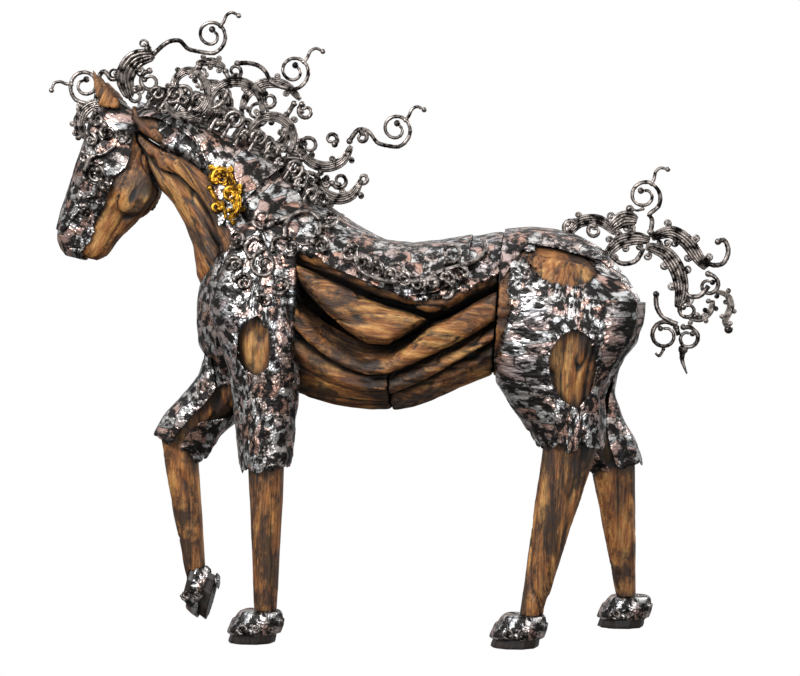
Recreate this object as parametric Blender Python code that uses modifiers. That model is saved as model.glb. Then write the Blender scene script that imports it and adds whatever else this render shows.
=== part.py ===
"""A walking horse built from driftwood, nailed sheet metal and cast scrollwork.

Metres, +Z up. The head points along -X and the left side faces -Y. The origin is on the floor,
under the middle of the sculpture. The figure's own proportions are written in hundredths of its
withers height, as pairs of edge points read from the side.
"""

import math

import bmesh
import bpy
import numpy as np
from mathutils import Matrix, Vector
from mathutils.bvhtree import BVHTree

# Driving sizes, in metres
WITHERS_HEIGHT = 1.60
SHEET = 0.005  # nailed metal sheet
SHEET_PLAY = 0.010  # left behind the sheet
LEG_PLAY = 0.020
SHEET_CLEAR = 0.014  # left where a sheet ends beside another piece
SEAT_GAP = 0.0015  # left between faces that touch
SLAB_GROOVE = 0.011  # half of the open joint between two driftwood slabs
SLAB_EASE = 0.020  # how far a slab's weathered edge falls away
ROD = 0.0085  # radius of a cast scroll's main stem
ROD_TIP = 0.0052  # radius of the stem at its curled end
BALL = 0.0125  # radius of the knob on a curl's end
LAID_GAP = 0.006  # between a scroll laid on a sheet and the sheet
BAND_DEPTH = 0.022  # thickness of a ribbed cast band
WINDOW_SPLIT = 0.014  # width of the dark joints between the slabs in a window
WINDOW_SPLIT_DEPTH = 0.035

# How finely the free forms are faceted
TORSO_SIDES = 16
BLOCK_RINGS = 6
LIMB_SIDES = 10
ROD_SIDES = 4
CAST_FACETS = 48  # facets for each rod or band of a casting
CAST_GRAIN = 0.004
FLAT_ENOUGH = math.radians(0.3)  # facets that lie this nearly in one plane are merged
LEFT, RIGHT = -1, 1

WOOD = ("driftwood", (0.36, 0.19, 0.08, 1.0), 0.45, 0.0)
DARK_WOOD = ("charred_hoof", (0.03, 0.022, 0.018, 1.0), 0.5, 0.0)
SHEET_METAL = ("sheet_metal", (0.55, 0.50, 0.47, 1.0), 0.25, 1.0)
CAST_METAL = ("cast_scrollwork", (0.30, 0.28, 0.27, 1.0), 0.35, 1.0)

# Edge points (x, z) of one side and of the other, then half width and sideways place
TORSO = [
    (-43.2, 79.5, -43.2, 65.5, 5.5, 0),
    (-38.6, 89.0, -38.6, 60.2, 10.5, 0),
    (-30.0, 96.5, -30.6, 56.4, 13.6, 0),
    (-19.6, 99.8, -21.4, 54.0, 15.6, 0),
    (-11.2, 95.0, -12.0, 51.8, 17.6, 0),
    (-2.5, 89.6, -2.5, 51.0, 18.8, 0),
    (6.6, 88.6, 6.6, 52.2, 19.0, 0),
    (16.0, 90.0, 15.2, 55.7, 18.4, 0),
    (26.4, 91.6, 23.8, 59.2, 17.4, 0),
    (34.5, 92.0, 33.0, 61.0, 17.0, 0),
    (42.8, 90.0, 42.9, 62.0, 15.4, 0),
    (50.0, 85.2, 50.1, 63.5, 11.5, 0),
    (54.4, 77.6, 54.5, 68.0, 6.5, 0),
]
NECK = [
    (-39.5, 70.5, -12.0, 88.0, 11.0, 0),
    (-44.4, 79.7, -18.5, 99.6, 9.8, 0),
    (-45.3, 87.2, -27.7, 107.8, 8.2, 0),
    (-47.1, 92.7, -35.7, 112.2, 6.8, 0),
    (-49.9, 98.0, -42.6, 115.2, 6.0, 0),
    (-53.1, 101.4, -49.5, 117.6, 5.4, 0),
    (-55.4, 106.1, -54.8, 119.8, 4.9, 0),
    (-57.2, 110.0, -59.6, 121.4, 4.2, 0),
]
HEAD = [
    (-63.6, 122.4, -57.0, 117.0, 3.0, 0),
    (-68.1, 117.9, -55.2, 110.6, 5.4, 0),
    (-69.8, 112.4, -53.1, 103.7, 6.4, 0),
    (-71.7, 107.2, -53.1, 100.1, 6.2, 0),
    (-73.3, 102.2, -55.4, 96.2, 5.3, 0),
    (-74.8, 98.0, -59.2, 93.2, 4.4, 0),
    (-76.0, 94.1, -62.5, 90.0, 3.8, 0),
    (-76.6, 91.2, -63.8, 88.3, 3.7, 0),
    (-76.1, 88.8, -65.2, 86.4, 3.4, 0),
    (-75.0, 87.0, -67.6, 85.2, 2.3, 0),
]
FORE_STANDING = [
    (-31.0, 94.0, -16.5, 90.5, 3.6, 8.6),
    (-36.8, 85.1, -17.4, 83.0, 5.4, 10.0),
    (-38.6, 76.6, -19.0, 76.5, 6.4, 10.6),
    (-36.9, 69.9, -19.9, 70.0, 6.6, 11.0),
    (-34.5, 63.2, -19.7, 62.9, 6.2, 11.4),
    (-33.2, 57.7, -20.6, 56.6, 5.4, 11.7),
    (-32.8, 52.1, -21.5, 51.7, 4.9, 12.0),
    (-32.1, 44.2, -22.0, 43.9, 4.4, 12.2),
    (-31.4, 40.4, -22.4, 41.4, 4.3, 12.3),
    (-30.8, 36.8, -22.9, 38.3, 3.8, 12.4),
    (-30.1, 33.8, -22.9, 34.7, 3.3, 12.4),
    (-29.3, 28.8, -22.6, 29.7, 3.0, 12.5),
    (-29.2, 23.6, -22.7, 24.1, 3.0, 12.5),
    (-29.7, 16.6, -22.3, 17.2, 3.4, 12.5),
    (-30.0, 13.9, -21.9, 13.3, 3.7, 12.5),
    (-29.4, 10.7, -23.2, 10.2, 3.2, 12.5),
    (-29.8, 6.0, -24.6, 5.9, 3.0, 12.5),
]
FORE_RAISED = [
    (-31.0, 94.0, -16.5, 90.5, 3.6, 8.6),
    (-37.8, 85.1, -17.4, 82.0, 5.4, 10.0),
    (-41.5, 76.0, -20.0, 73.5, 6.4, 10.6),
    (-43.0, 67.0, -26.4, 61.6, 6.4, 11.0),
    (-44.0, 60.0, -31.6, 54.2, 5.8, 11.4),
    (-46.4, 55.6, -36.6, 49.6, 5.3, 11.8),
    (-49.2, 52.7, -40.1, 47.1, 5.0, 12.0),
    (-52.3, 49.7, -43.0, 44.0, 4.8, 12.2),
    (-55.2, 45.8, -45.6, 40.9, 4.5, 12.4),
    (-56.6, 41.8, -47.3, 38.1, 4.2, 12.5),
    (-56.4, 38.0, -48.1, 35.2, 3.8, 12.5),
    (-56.1, 33.7, -48.5, 33.4, 3.4, 12.5),
    (-55.4, 27.8, -48.3, 27.9, 3.1, 12.5),
    (-54.7, 23.7, -47.6, 23.8, 3.1, 12.5),
    (-54.0, 18.3, -46.4, 17.9, 3.5, 12.5),
    (-53.3, 13.7, -47.4, 15.5, 3.2, 12.5),
    (-51.2, 9.0, -46.2, 12.3, 3.0, 12.5),
    (-49.2, 6.6, -44.9, 10.0, 2.7, 12.5),
]
HIND_STANDING = [
    (29.5, 88.0, 50.5, 83.0, 3.2, 12.0),
    (27.0, 82.0, 55.2, 79.0, 5.4, 12.8),
    (25.6, 75.4, 55.4, 74.0, 6.6, 13.0),
    (24.5, 69.8, 54.8, 69.6, 7.0, 13.0),
    (24.4, 65.4, 52.4, 65.4, 7.0, 13.0),
    (25.0, 60.9, 48.3, 60.4, 6.6, 13.0),
    (27.3, 55.9, 47.2, 55.3, 6.0, 13.0),
    (30.4, 51.2, 47.0, 50.9, 5.4, 13.1),
    (33.7, 47.2, 47.2, 46.5, 4.9, 13.1),
    (35.0, 43.2, 46.9, 43.0, 4.6, 13.1),
    (35.7, 38.4, 45.3, 38.3, 4.2, 13.1),
    (35.5, 34.0, 43.2, 32.3, 3.7, 13.1),
    (34.8, 29.2, 41.2, 28.2, 3.2, 13.1),
    (33.2, 22.6, 39.9, 22.1, 3.1, 13.1),
    (31.9, 18.0, 38.6, 17.4, 3.3, 13.1),
    (30.5, 13.7, 37.7, 12.4, 3.5, 13.1),
    (30.1, 10.2, 36.0, 9.0, 3.1, 13.1),
    (29.2, 6.2, 34.6, 5.6, 3.0, 13.1),
]
HIND_TRAILING = [
    (29.5, 88.0, 50.5, 83.0, 3.2, 12.0),
    (27.0, 82.0, 55.2, 79.0, 5.4, 12.8),
    (25.6, 75.4, 55.4, 74.0, 6.6, 13.0),
    (25.4, 69.1, 55.0, 69.2, 7.0, 13.0),
    (28.0, 62.8, 52.0, 63.2, 6.8, 13.0),
    (33.4, 56.6, 49.6, 57.4, 6.2, 13.0),
    (38.2, 50.4, 50.0, 51.4, 5.6, 13.1),
    (41.9, 43.6, 53.2, 45.6, 5.1, 13.1),
    (44.4, 38.2, 55.6, 40.6, 4.7, 13.1),
    (46.7, 34.0, 56.4, 35.6, 4.3, 13.1),
    (48.9, 29.8, 56.9, 30.4, 3.8, 13.1),
    (50.1, 25.3, 57.1, 25.6, 3.4, 13.1),
    (50.9, 20.6, 57.6, 20.9, 3.2, 13.1),
    (51.3, 15.4, 58.4, 14.6, 3.5, 13.1),
    (51.2, 12.0, 57.4, 11.0, 3.2, 13.1),
    (51.4, 7.0, 56.4, 6.6, 3.0, 13.1),
]
# Toe and heel edges of a standing hoof, from its sole up, measured from the sole's middle
HOOF = [
    (-5.7, 0.0, 5.2, 0.0, 4.4, 0),
    (-4.8, 2.4, 5.6, 2.4, 4.3, 0),
    (-4.0, 4.6, 6.4, 4.6, 4.1, 0),
    (-2.6, 6.6, 6.2, 6.6, 3.6, 0),
]
HOOF_RINGS = [0.0, 0.9, 1.6, 2.3, 3.0]
SOLE_FORE_STANDING = (-30.1, 12.5)
SOLE_HIND_STANDING = (28.8, 13.1)
SOLE_HIND_TRAILING = (52.8, 13.1)
TOE_FORE_RAISED = (-45.0, 12.5)  # the toe's tip touches the floor
RAISED_HOOF_TURN = math.radians(75.0)

# Flank slabs: heights of the joints between them, one for each place along the barrel
FLANK_X = [-20.4, -16.4, -12.2, -8.0, -4.0, 0.4, 5.0, 9.4, 14.0, 19.2, 24.6]
BACK_EDGE = [86.6, 84.8, 83.0, 81.0, 78.8, 77.0, 75.6, 73.4, 74.2, 77.8, 81.0]
UPPER_EDGE = [81.6, 76.6, 72.0, 68.4, 65.9, 65.6, 68.4, 72.2]
MIDDLE_TOP = [76.6, 71.6, 67.2, 64.6, 63.2, 63.8, 67.0, 71.6, 73.6, 77.2, 80.4]
MIDDLE_EDGE = [68.6, 65.0, 61.8, 59.8, 58.6, 58.8, 60.6, 62.8, 64.9, 67.6, 71.2]
STRIP_START = 5
STRIP_EDGE = [54.2, 55.9, 57.9, 60.4, 63.4, 66.4]


def spaced(start, end, steps):
    return [start + (end - start) * i / steps for i in range(steps + 1)]


# Metal sheets: how far each wraps, in degrees from the limb's first edge, or as a height
SADDLE_EDGE = [87.4, 84.6, 82.0, 79.4, 77.4, 78.4, 82.0]
CROUP_WRAP = 112
CREST_WRAP = [76, 84, 94, 106, 118, 128, 136, 139, 138, 130, 116]
FACE_WRAP = [118, 114, 100, 88, 80, 70, 60, 50]
NARROWEST_WRAP = 40  # a sheet's course that would span less is left off
STEEPEST_EDGE = 36  # most degrees that a sheet's edge turns between two courses
SLEEVE_PLACES = [1.5, 2.5, 3.5, 4.5, 5.5, 6.5, 7.5, 8.5]
HIP_START = {LEFT: 0, RIGHT: 1}
SHOULDER_WRAP = [
    (172, 50), (172, 55), (172, 62), (172, 130), (172, 172), (172, 172), (172, 172), (172, 172)
]
HIP_WRAP = [(60, 84), (62, 92), (64, 100), (70, 108), (90, 120), (150, 160), (172, 172), (172, 172)]

def share(value):
    """Turns hundredths of the withers height into metres."""
    return value * WITHERS_HEIGHT / 100


def clear_scene():
    for obj in list(bpy.data.objects):
        bpy.data.objects.remove(obj, do_unlink=True)


def make_collection(name):
    collection = bpy.data.collections.new(name)
    bpy.context.scene.collection.children.link(collection)
    return collection


def material_of(spec):
    name, colour, roughness, metallic = spec
    found = bpy.data.materials.get(name)
    if found:
        return found
    material = bpy.data.materials.new(name)
    material.use_nodes = True
    shader = material.node_tree.nodes["Principled BSDF"]
    shader.inputs["Base Color"].default_value = colour
    shader.inputs["Roughness"].default_value = roughness
    shader.inputs["Metallic"].default_value = metallic
    material.diffuse_color = colour
    return material


def catmull(rows, u):
    """A smooth curve through evenly spaced rows of numbers, at place u."""
    last = len(rows) - 1
    u = min(max(u, 0.0), float(last))
    i = min(int(u), last - 1)
    t = u - i
    before, a = rows[max(i - 1, 0)], rows[i]
    b, after = rows[i + 1], rows[min(i + 2, last)]
    bend = (2 * before - 5 * a + 4 * b - after) * t + (3 * (a - b) + after - before) * t * t
    return a + 0.5 * t * ((b - before) + bend)


class Limb:
    """A tube through edge-point stations, as the figure's tables write them."""

    def __init__(self, stations, side=LEFT, squareness=2.2, place=(0, 0, 0), turn=0.0):
        spin = Matrix.Rotation(-turn, 3, "Y")
        rows = []
        for x1, z1, x2, z2, half_width, sideways in stations:
            one = spin @ Vector((share(x1), 0, share(z1)))
            two = spin @ Vector((share(x2), 0, share(z2)))
            middle = (one + two) / 2 + Vector(place)
            middle.y += side * share(sideways)
            reach = (one - two) / 2
            rows.append([*middle, *reach, share(half_width)])
        self.rows = np.array(rows)
        self.last = len(rows) - 1
        self.power = 2 / squareness

    def point(self, u, angle, offset=0.0, depth=1.0):
        """A point of the surface: angle 0 is at the first edge, a quarter turn at +Y."""
        row = catmull(self.rows, u)
        middle, reach, half_width = Vector(row[0:3]), Vector(row[3:6]), row[6]
        c, s = math.cos(angle), math.sin(angle)
        c = math.copysign(abs(c) ** self.power, c)
        s = math.copysign(abs(s) ** self.power, s)
        edge = reach * c + Vector((0, half_width, 0)) * s
        outward = reach.normalized() * (c * half_width) + Vector((0, 1, 0)) * (s * reach.length)
        if outward.length > 0:
            outward.normalize()
        return middle + edge * depth + outward * offset

    def angle_at(self, u, height):
        """The angle, from 0 to pi, where the surface is at this height (for upright rings)."""
        row = catmull(self.rows, u)
        level = (height - row[2]) / row[5]
        level = max(-1.0, min(1.0, level))
        return math.acos(math.copysign(abs(level) ** (1 / self.power), level))

    def place_of(self, x):
        """The place along the limb whose ring is centred at this x."""
        low, high = 0.0, float(self.last)
        for _ in range(40):
            mid = (low + high) / 2
            if catmull(self.rows, mid)[0] < x:
                low = mid
            else:
                high = mid
        return (low + high) / 2


def finish_mesh(name, mesh, spec, collection):
    obj = bpy.data.objects.new(name, mesh)
    collection.objects.link(obj)
    mesh.materials.clear()
    mesh.materials.append(material_of(spec))
    return obj


def loft(name, rings, spec, collection, strip=False):
    """A closed solid through rings of equally many points, capped at both ends.

    The rings of a strip run out along one face and back along the other.
    """
    bm = bmesh.new()
    made = [[bm.verts.new(p) for p in ring] for ring in rings]
    count = len(rings[0])
    for first, second in zip(made, made[1:]):
        for j in range(count):
            k = (j + 1) % count
            if j < count // 2:
                bm.faces.new((first[j], first[k], second[j]))
                bm.faces.new((first[k], second[k], second[j]))
            else:
                bm.faces.new((first[j], first[k], second[k]))
                bm.faces.new((first[j], second[k], second[j]))
    if strip:
        for ring, order in ((made[0], -1), (made[-1], 1)):
            for j in range(count // 2 - 1):
                corners = (ring[j], ring[j + 1], ring[count - 2 - j], ring[count - 1 - j])
                bm.faces.new(corners[::order])
    else:
        bm.faces.new(made[0][::-1])
        bm.faces.new(made[-1])
    bmesh.ops.triangulate(bm, faces=[f for f in bm.faces if len(f.verts) > 3])
    bmesh.ops.recalc_face_normals(bm, faces=bm.faces)
    mesh = bpy.data.meshes.new(name)
    bm.to_mesh(mesh)
    bm.free()
    return finish_mesh(name, mesh, spec, collection)


def limb_piece(name, limb, places, spec, collection, sides=LIMB_SIDES):
    """The whole section of a limb between its first and last place."""
    angles = [2 * math.pi * j / sides for j in range(sides)]
    rings = [[limb.point(u, a) for a in angles] for u in places]
    return loft(name, rings, spec, collection)


def sector_piece(name, limb, stops, spec, collection, side, hollow=0.45, crossing=False):
    """A slab of a limb's wall. A stop is (place, lower angle, upper angle) on one side.

    A crossing slab runs over the limb's first edge from one side to the other.
    """
    rings = []
    for u, low, high in stops:
        row = catmull(limb.rows, u)
        mean_radius = (np.linalg.norm(row[3:6]) + row[6]) / 2
        width = abs(low - high)
        groove = min(SLAB_GROOVE / mean_radius, width * 0.22)
        ease = min(SLAB_EASE / mean_radius, width * 0.2)
        seat = SEAT_GAP / mean_radius / hollow
        start, stop = (-high, high) if crossing else (side * high, side * low)
        sign = 1 if stop > start else -1
        start, stop = start + sign * seat, stop - sign * seat
        inner = [(start, hollow), (start, 0.66)]
        outer = [(start + sign * groove * 0.7, 0.90)]
        middle_from, middle_to = start + sign * (groove + ease), stop - sign * (groove + ease)
        shares = (0, 0.33, 0.67, 1) if not crossing else (0, 0.25, 0.5, 0.75, 1)
        surface = [(middle_from + (middle_to - middle_from) * f, 1.0) for f in shares]
        outer_end = [(stop - sign * groove * 0.7, 0.90)]
        inner_end = [(stop, 0.66), (stop, hollow)]
        section = inner + outer + surface + outer_end + inner_end
        rings.append([limb.point(u, angle, 0.0, depth) for angle, depth in section])
    return loft(name, rings, spec, collection)


def rod_mesh(name, points, radii, sides=ROD_SIDES):
    """A mesh tube along points, from a poly curve with a bevel, its caps welded."""
    curve = bpy.data.curves.new(name, "CURVE")
    curve.dimensions = "3D"
    curve.bevel_depth = 1.0
    curve.bevel_resolution = sides // 2 - 2
    curve.use_fill_caps = True
    spline = curve.splines.new("POLY")
    spline.points.add(len(points) - 1)
    for target, point, radius in zip(spline.points, points, radii):
        target.co = (*point, 1)
        target.radius = radius
    guide = bpy.data.objects.new(name, curve)
    bpy.context.scene.collection.objects.link(guide)
    bpy.context.view_layer.update()
    graph = bpy.context.evaluated_depsgraph_get()
    mesh = bpy.data.meshes.new_from_object(guide.evaluated_get(graph))
    bpy.data.objects.remove(guide)
    bm = bmesh.new()
    bm.from_mesh(mesh)
    bmesh.ops.remove_doubles(bm, verts=bm.verts, dist=1e-5)
    bmesh.ops.recalc_face_normals(bm, faces=bm.faces)
    bm.to_mesh(mesh)
    bm.free()
    return mesh


def apply_boolean(obj, other, operation, careful=False):
    modifier = obj.modifiers.new("join", "BOOLEAN")
    modifier.operation = operation
    modifier.solver = "EXACT"
    modifier.use_self = careful
    modifier.object = other
    bpy.context.view_layer.update()
    graph = bpy.context.evaluated_depsgraph_get()
    mesh = bpy.data.meshes.new_from_object(obj.evaluated_get(graph))
    obj.modifiers.clear()
    mesh.name = obj.name
    old = obj.data
    obj.data = mesh
    bpy.data.meshes.remove(old)


def link_between(body, mesh):
    """A short cast link from a loose piece to the nearest place of the casting."""
    best = None
    for vert in mesh.vertices:
        place, _, _, distance = body.find_nearest(vert.co)
        if best is None or distance < best[0]:
            best = (distance, place, vert.co.copy())
    start, end = best[1], best[2]
    along = end - start
    along = along.normalized() if along.length > 1e-4 else Vector((0, 0, 1))
    points = [start - along * ROD * 0.7, (start + end) / 2, end + along * ROD * 0.7]
    return rod_mesh("link", points, [ROD * 0.75] * 3)


def joined(name, meshes, spec, collection, facets):
    """One cast skin over closed meshes, with a link wherever one doesn't reach the rest."""
    bm = bmesh.new()
    bm.from_mesh(meshes[0])
    for mesh in meshes[1:]:
        body, probe = BVHTree.FromBMesh(bm), bmesh.new()
        probe.from_mesh(mesh)
        if not body.overlap(BVHTree.FromBMesh(probe)):
            bm.from_mesh(link_between(body, mesh))
        probe.free()
        bm.from_mesh(mesh)
    gathered = bpy.data.meshes.new(name)
    bm.to_mesh(gathered)
    bm.free()
    obj = finish_mesh(name, gathered, spec, collection)
    skin = obj.modifiers.new("skin", "REMESH")
    skin.mode = "VOXEL"
    skin.voxel_size = CAST_GRAIN
    for _ in range(2):
        bpy.context.view_layer.update()
        graph = bpy.context.evaluated_depsgraph_get()
        mesh = bpy.data.meshes.new_from_object(obj.evaluated_get(graph))
        obj.modifiers.clear()
        obj.data = mesh
        mesh.name = name
        count = sum(len(face.vertices) - 2 for face in mesh.polygons)
        if count > facets:
            fewer = obj.modifiers.new("fewer", "DECIMATE")
            fewer.ratio = facets / count
            fewer.use_collapse_triangulate = True
        else:
            break
    mesh.materials.clear()
    mesh.materials.append(material_of(spec))
    return obj


def grown_copy(obj, distance):
    """A helper object: the same solid with every corner pushed outward."""
    bm = bmesh.new()
    bm.from_mesh(obj.data)
    bm.normal_update()
    moves = [(v, v.normal * distance * min(v.calc_shell_factor(), 2.0)) for v in bm.verts]
    for vert, move in moves:
        vert.co += move
    mesh = bpy.data.meshes.new("grown")
    bm.to_mesh(mesh)
    bm.free()
    grown = bpy.data.objects.new("grown", mesh)
    bpy.context.scene.collection.objects.link(grown)
    return grown


def tree_of(obj):
    bm = bmesh.new()
    bm.from_mesh(obj.data)
    tree = BVHTree.FromBMesh(bm)
    bm.free()
    return tree


def largest_body(obj):
    """Keeps the largest separate body of a cut piece and merges the facets that lie flat."""
    for weld, flat in ((5e-5, FLAT_ENOUGH), (1e-5, FLAT_ENOUGH / 10), (1e-5, 0.0), (0.0, 0.0)):
        bm = bmesh.new()
        bm.from_mesh(obj.data)
        if weld:
            bmesh.ops.remove_doubles(bm, verts=bm.verts, dist=weld)
            bmesh.ops.dissolve_degenerate(bm, edges=bm.edges, dist=weld)
        groups = sorted(separate_bodies(bm), key=spread_of, reverse=True)
        loose = [vert for group in groups[1:] for vert in group]
        bmesh.ops.delete(bm, geom=loose, context="VERTS")
        if flat:
            bmesh.ops.dissolve_limit(bm, angle_limit=flat, verts=bm.verts, edges=bm.edges)
        bmesh.ops.triangulate(bm, faces=bm.faces)
        closed = all(edge.is_manifold for edge in bm.edges)
        if closed:
            bm.to_mesh(obj.data)
        bm.free()
        if closed:
            return


def separate_bodies(bm):
    """The vertices of each connected piece of a mesh."""
    seen, groups = set(), []
    for start in bm.verts:
        if start in seen:
            continue
        group, queue = [], [start]
        seen.add(start)
        while queue:
            vert = queue.pop()
            group.append(vert)
            for edge in vert.link_edges:
                other = edge.other_vert(vert)
                if other not in seen:
                    seen.add(other)
                    queue.append(other)
        groups.append(group)
    return groups


def spread_of(verts):
    """The area of the faces around a group of vertices."""
    return sum(face.calc_area() / len(face.verts) for vert in verts for face in vert.link_faces)


def fit_pieces(pieces, start=0):
    """Cuts each piece round the ones before it, so that they meet face to face."""
    for index, piece in enumerate(pieces):
        if index < start:
            continue
        for earlier in pieces[:index]:
            if not tree_of(piece).overlap(tree_of(earlier)):
                continue
            cutter = grown_copy(earlier, SEAT_GAP)
            apply_boolean(piece, cutter, "DIFFERENCE", careful=True)
            bpy.data.objects.remove(cutter)
            largest_body(piece)


def torso_slabs(torso, collection):
    """The driftwood of the barrel: a block fore and aft, and long slabs between them."""
    places = [torso.place_of(share(x)) for x in FLANK_X]
    start, end = places[0], places[-1]
    end_gap = SEAT_GAP / share(9)

    def block(name, first, last):
        return limb_piece(name, torso, spaced(first, last, BLOCK_RINGS), WOOD, collection, TORSO_SIDES)

    def angle(index, height):
        return torso.angle_at(places[index], share(height))

    pieces = [
        block("chest_block", 0.0, start - end_gap),
        block("croup_block", end + end_gap, torso.last),
    ]
    count, short = len(places), len(UPPER_EDGE)
    back = [(places[i], 0.0, angle(i, BACK_EDGE[i])) for i in range(count)]
    pieces.append(sector_piece("back_slab", torso, back, WOOD, collection, RIGHT, crossing=True))
    front, rear = [], []
    for i in range(STRIP_START + 1):
        edge = angle(i, MIDDLE_EDGE[i])
        front.append((places[i], 2 * math.pi - edge, edge))
    for i in range(STRIP_START, count):
        edge = angle(i, STRIP_EDGE[i - STRIP_START])
        rear.append((places[i] + (end_gap if i == STRIP_START else 0), 2 * math.pi - edge, edge))
    pieces.append(sector_piece("belly_front_slab", torso, front, WOOD, collection, RIGHT))
    pieces.append(sector_piece("belly_rear_slab", torso, rear, WOOD, collection, RIGHT))
    for side, tag in ((LEFT, "left"), (RIGHT, "right")):
        upper = [(places[i], angle(i, UPPER_EDGE[i]), angle(i, BACK_EDGE[i])) for i in range(short)]
        middle = [(places[i], angle(i, MIDDLE_EDGE[i]), angle(i, MIDDLE_TOP[i])) for i in range(count)]
        strip = [
            (places[i] + (end_gap if i == STRIP_START else 0), angle(i, STRIP_EDGE[i - STRIP_START]),
             angle(i, MIDDLE_EDGE[i]))
            for i in range(STRIP_START, count)
        ]
        for name, stops in (
            ("flank_upper_slab", upper), ("flank_middle_slab", middle), ("flank_rear_strip", strip),
        ):
            pieces.append(sector_piece(f"{name}_{tag}", torso, stops, WOOD, collection, side))
    return pieces


def neck_slabs(neck, collection):
    """Long slabs round the neck: the throat, one on each side, and the crest."""
    places = spaced(0.3, neck.last, 7)
    throat_edge = [60, 62, 66, 70, 66, 54, 44, 40]
    side_edge = [96, 98, 101, 104, 104, 98, 88, 84]
    throat = [(u, 0.0, math.radians(edge)) for u, edge in zip(places, throat_edge)]
    crest = [
        (u, 2 * math.pi - math.radians(edge), math.radians(edge)) for u, edge in zip(places, side_edge)
    ]
    pieces = [
        sector_piece("neck_throat_slab", neck, throat, WOOD, collection, RIGHT, crossing=True),
        sector_piece("neck_crest_slab", neck, crest, WOOD, collection, RIGHT),
    ]
    for side, tag in ((LEFT, "left"), (RIGHT, "right")):
        stops = [
            (u, math.radians(low), math.radians(high))
            for u, low, high in zip(places, side_edge, throat_edge)
        ]
        pieces.append(sector_piece(f"neck_side_slab_{tag}", neck, stops, WOOD, collection, side))
    return pieces


def ball_mesh(centre, radius, squash=(1, 1, 1), sides=6):
    bm = bmesh.new()
    bmesh.ops.create_uvsphere(bm, u_segments=sides, v_segments=4, radius=radius)
    bmesh.ops.rotate(bm, verts=bm.verts, matrix=Matrix.Rotation(0.4, 3, (1, 0.6, 0.3)))
    bmesh.ops.scale(bm, verts=bm.verts, vec=squash)
    bmesh.ops.translate(bm, verts=bm.verts, vec=centre)
    mesh = bpy.data.meshes.new("ball")
    bm.to_mesh(mesh)
    bm.free()
    return mesh


def spot(x, z, y=0.0):
    return Vector((share(x), y, share(z)))


def head_piece(head, collection):
    """The carved head: cheeks and brows stand out, and the mouth, nostrils and eyes are cut."""
    head_obj = limb_piece("head_block", head, spaced(0, head.last, 11), WOOD, collection, 12)
    for side in (LEFT, RIGHT):
        cheek = ball_mesh(spot(-58.6, 101.6, side * share(4.9)), share(5.6), (1, 0.42, 1.15), 8)
        nostril = ball_mesh(spot(-75.2, 90.6, side * share(3.9)), share(1.3), (0.8, 1, 1.3))
        eye = ball_mesh(spot(-65.4, 110.8, side * share(7.2)), share(2.0), (1, 1, 0.8))
        for mesh, operation in ((cheek, "UNION"), (nostril, "DIFFERENCE"), (eye, "DIFFERENCE")):
            other = bpy.data.objects.new("carving", mesh)
            bpy.context.scene.collection.objects.link(other)
            apply_boolean(head_obj, other, operation)
            bpy.data.objects.remove(other)
    mouth = blade([(-76.6, 86.2), (-73.2, 88.2), (-69.6, 88.0)], 0.006, share(9), 0.0)
    apply_boolean(head_obj, mouth, "DIFFERENCE")
    bpy.data.objects.remove(mouth)
    largest_body(head_obj)
    return head_obj


def blade(line, width, depth, y):
    """A cutter: a thin upright strip that follows a line seen from the side."""
    points = [spot(x, z, y) for x, z in line]
    widths = [width * (0.5 if i in (0, len(line) - 1) else 1) for i in range(len(line))]
    mesh = ribbon_mesh(points, widths, depth)
    cutter = bpy.data.objects.new("blade", mesh)
    bpy.context.scene.collection.objects.link(cutter)
    return cutter


def ribbon_mesh(points, widths, depth):
    """A flat band along points in an upright plane: wide in the plane, `depth` across it."""
    bm = bmesh.new()
    rings = []
    for i, point in enumerate(points):
        along = (points[min(i + 1, len(points) - 1)] - points[max(i - 1, 0)]).normalized()
        across = Vector((0, 1, 0)).cross(along).normalized() * widths[i] / 2
        thick = Vector((0, depth / 2, 0))
        corners = (point - across - thick, point + across - thick, point + across + thick,
                   point - across + thick)
        rings.append([bm.verts.new(corner) for corner in corners])
    for first, second in zip(rings, rings[1:]):
        for j in range(4):
            k = (j + 1) % 4
            bm.faces.new((first[j], first[k], second[k], second[j]))
    bm.faces.new(rings[0][::-1])
    bm.faces.new(rings[-1])
    bmesh.ops.triangulate(bm, faces=bm.faces)
    bmesh.ops.recalc_face_normals(bm, faces=bm.faces)
    mesh = bpy.data.meshes.new("band")
    bm.to_mesh(mesh)
    bm.free()
    return mesh


def ear(side, tag, collection):
    """A pointed ear, cupped on its front."""
    stations = [
        (-66.6, 120.2, -60.6, 119.4, 1.5, 3.6),
        (-67.3, 122.6, -61.4, 122.2, 1.9, 3.7),
        (-67.7, 125.4, -63.8, 124.8, 1.4, 3.5),
        (-67.9, 127.6, -66.4, 127.0, 0.8, 3.2),
        (-67.9, 129.0, -67.5, 128.7, 0.3, 3.0),
    ]
    limb = Limb(stations, side)
    return limb_piece(f"ear_{tag}", limb, spaced(0, limb.last, 5), WOOD, collection, 8)


def window(centre, half_width, half_height, lean, sides=9):
    """A cutter for an opening with an irregular rim, seen from the side."""
    points = []
    for i in range(sides):
        angle = 2 * math.pi * i / sides
        reach = 1 + 0.07 * math.sin(3 * angle + half_width)
        x, z = half_width * reach * math.cos(angle), half_height * reach * math.sin(angle)
        turned = Matrix.Rotation(lean, 2) @ Vector((x, z))
        points.append((centre[0] + turned.x, centre[1] + turned.y))
    return points


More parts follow.
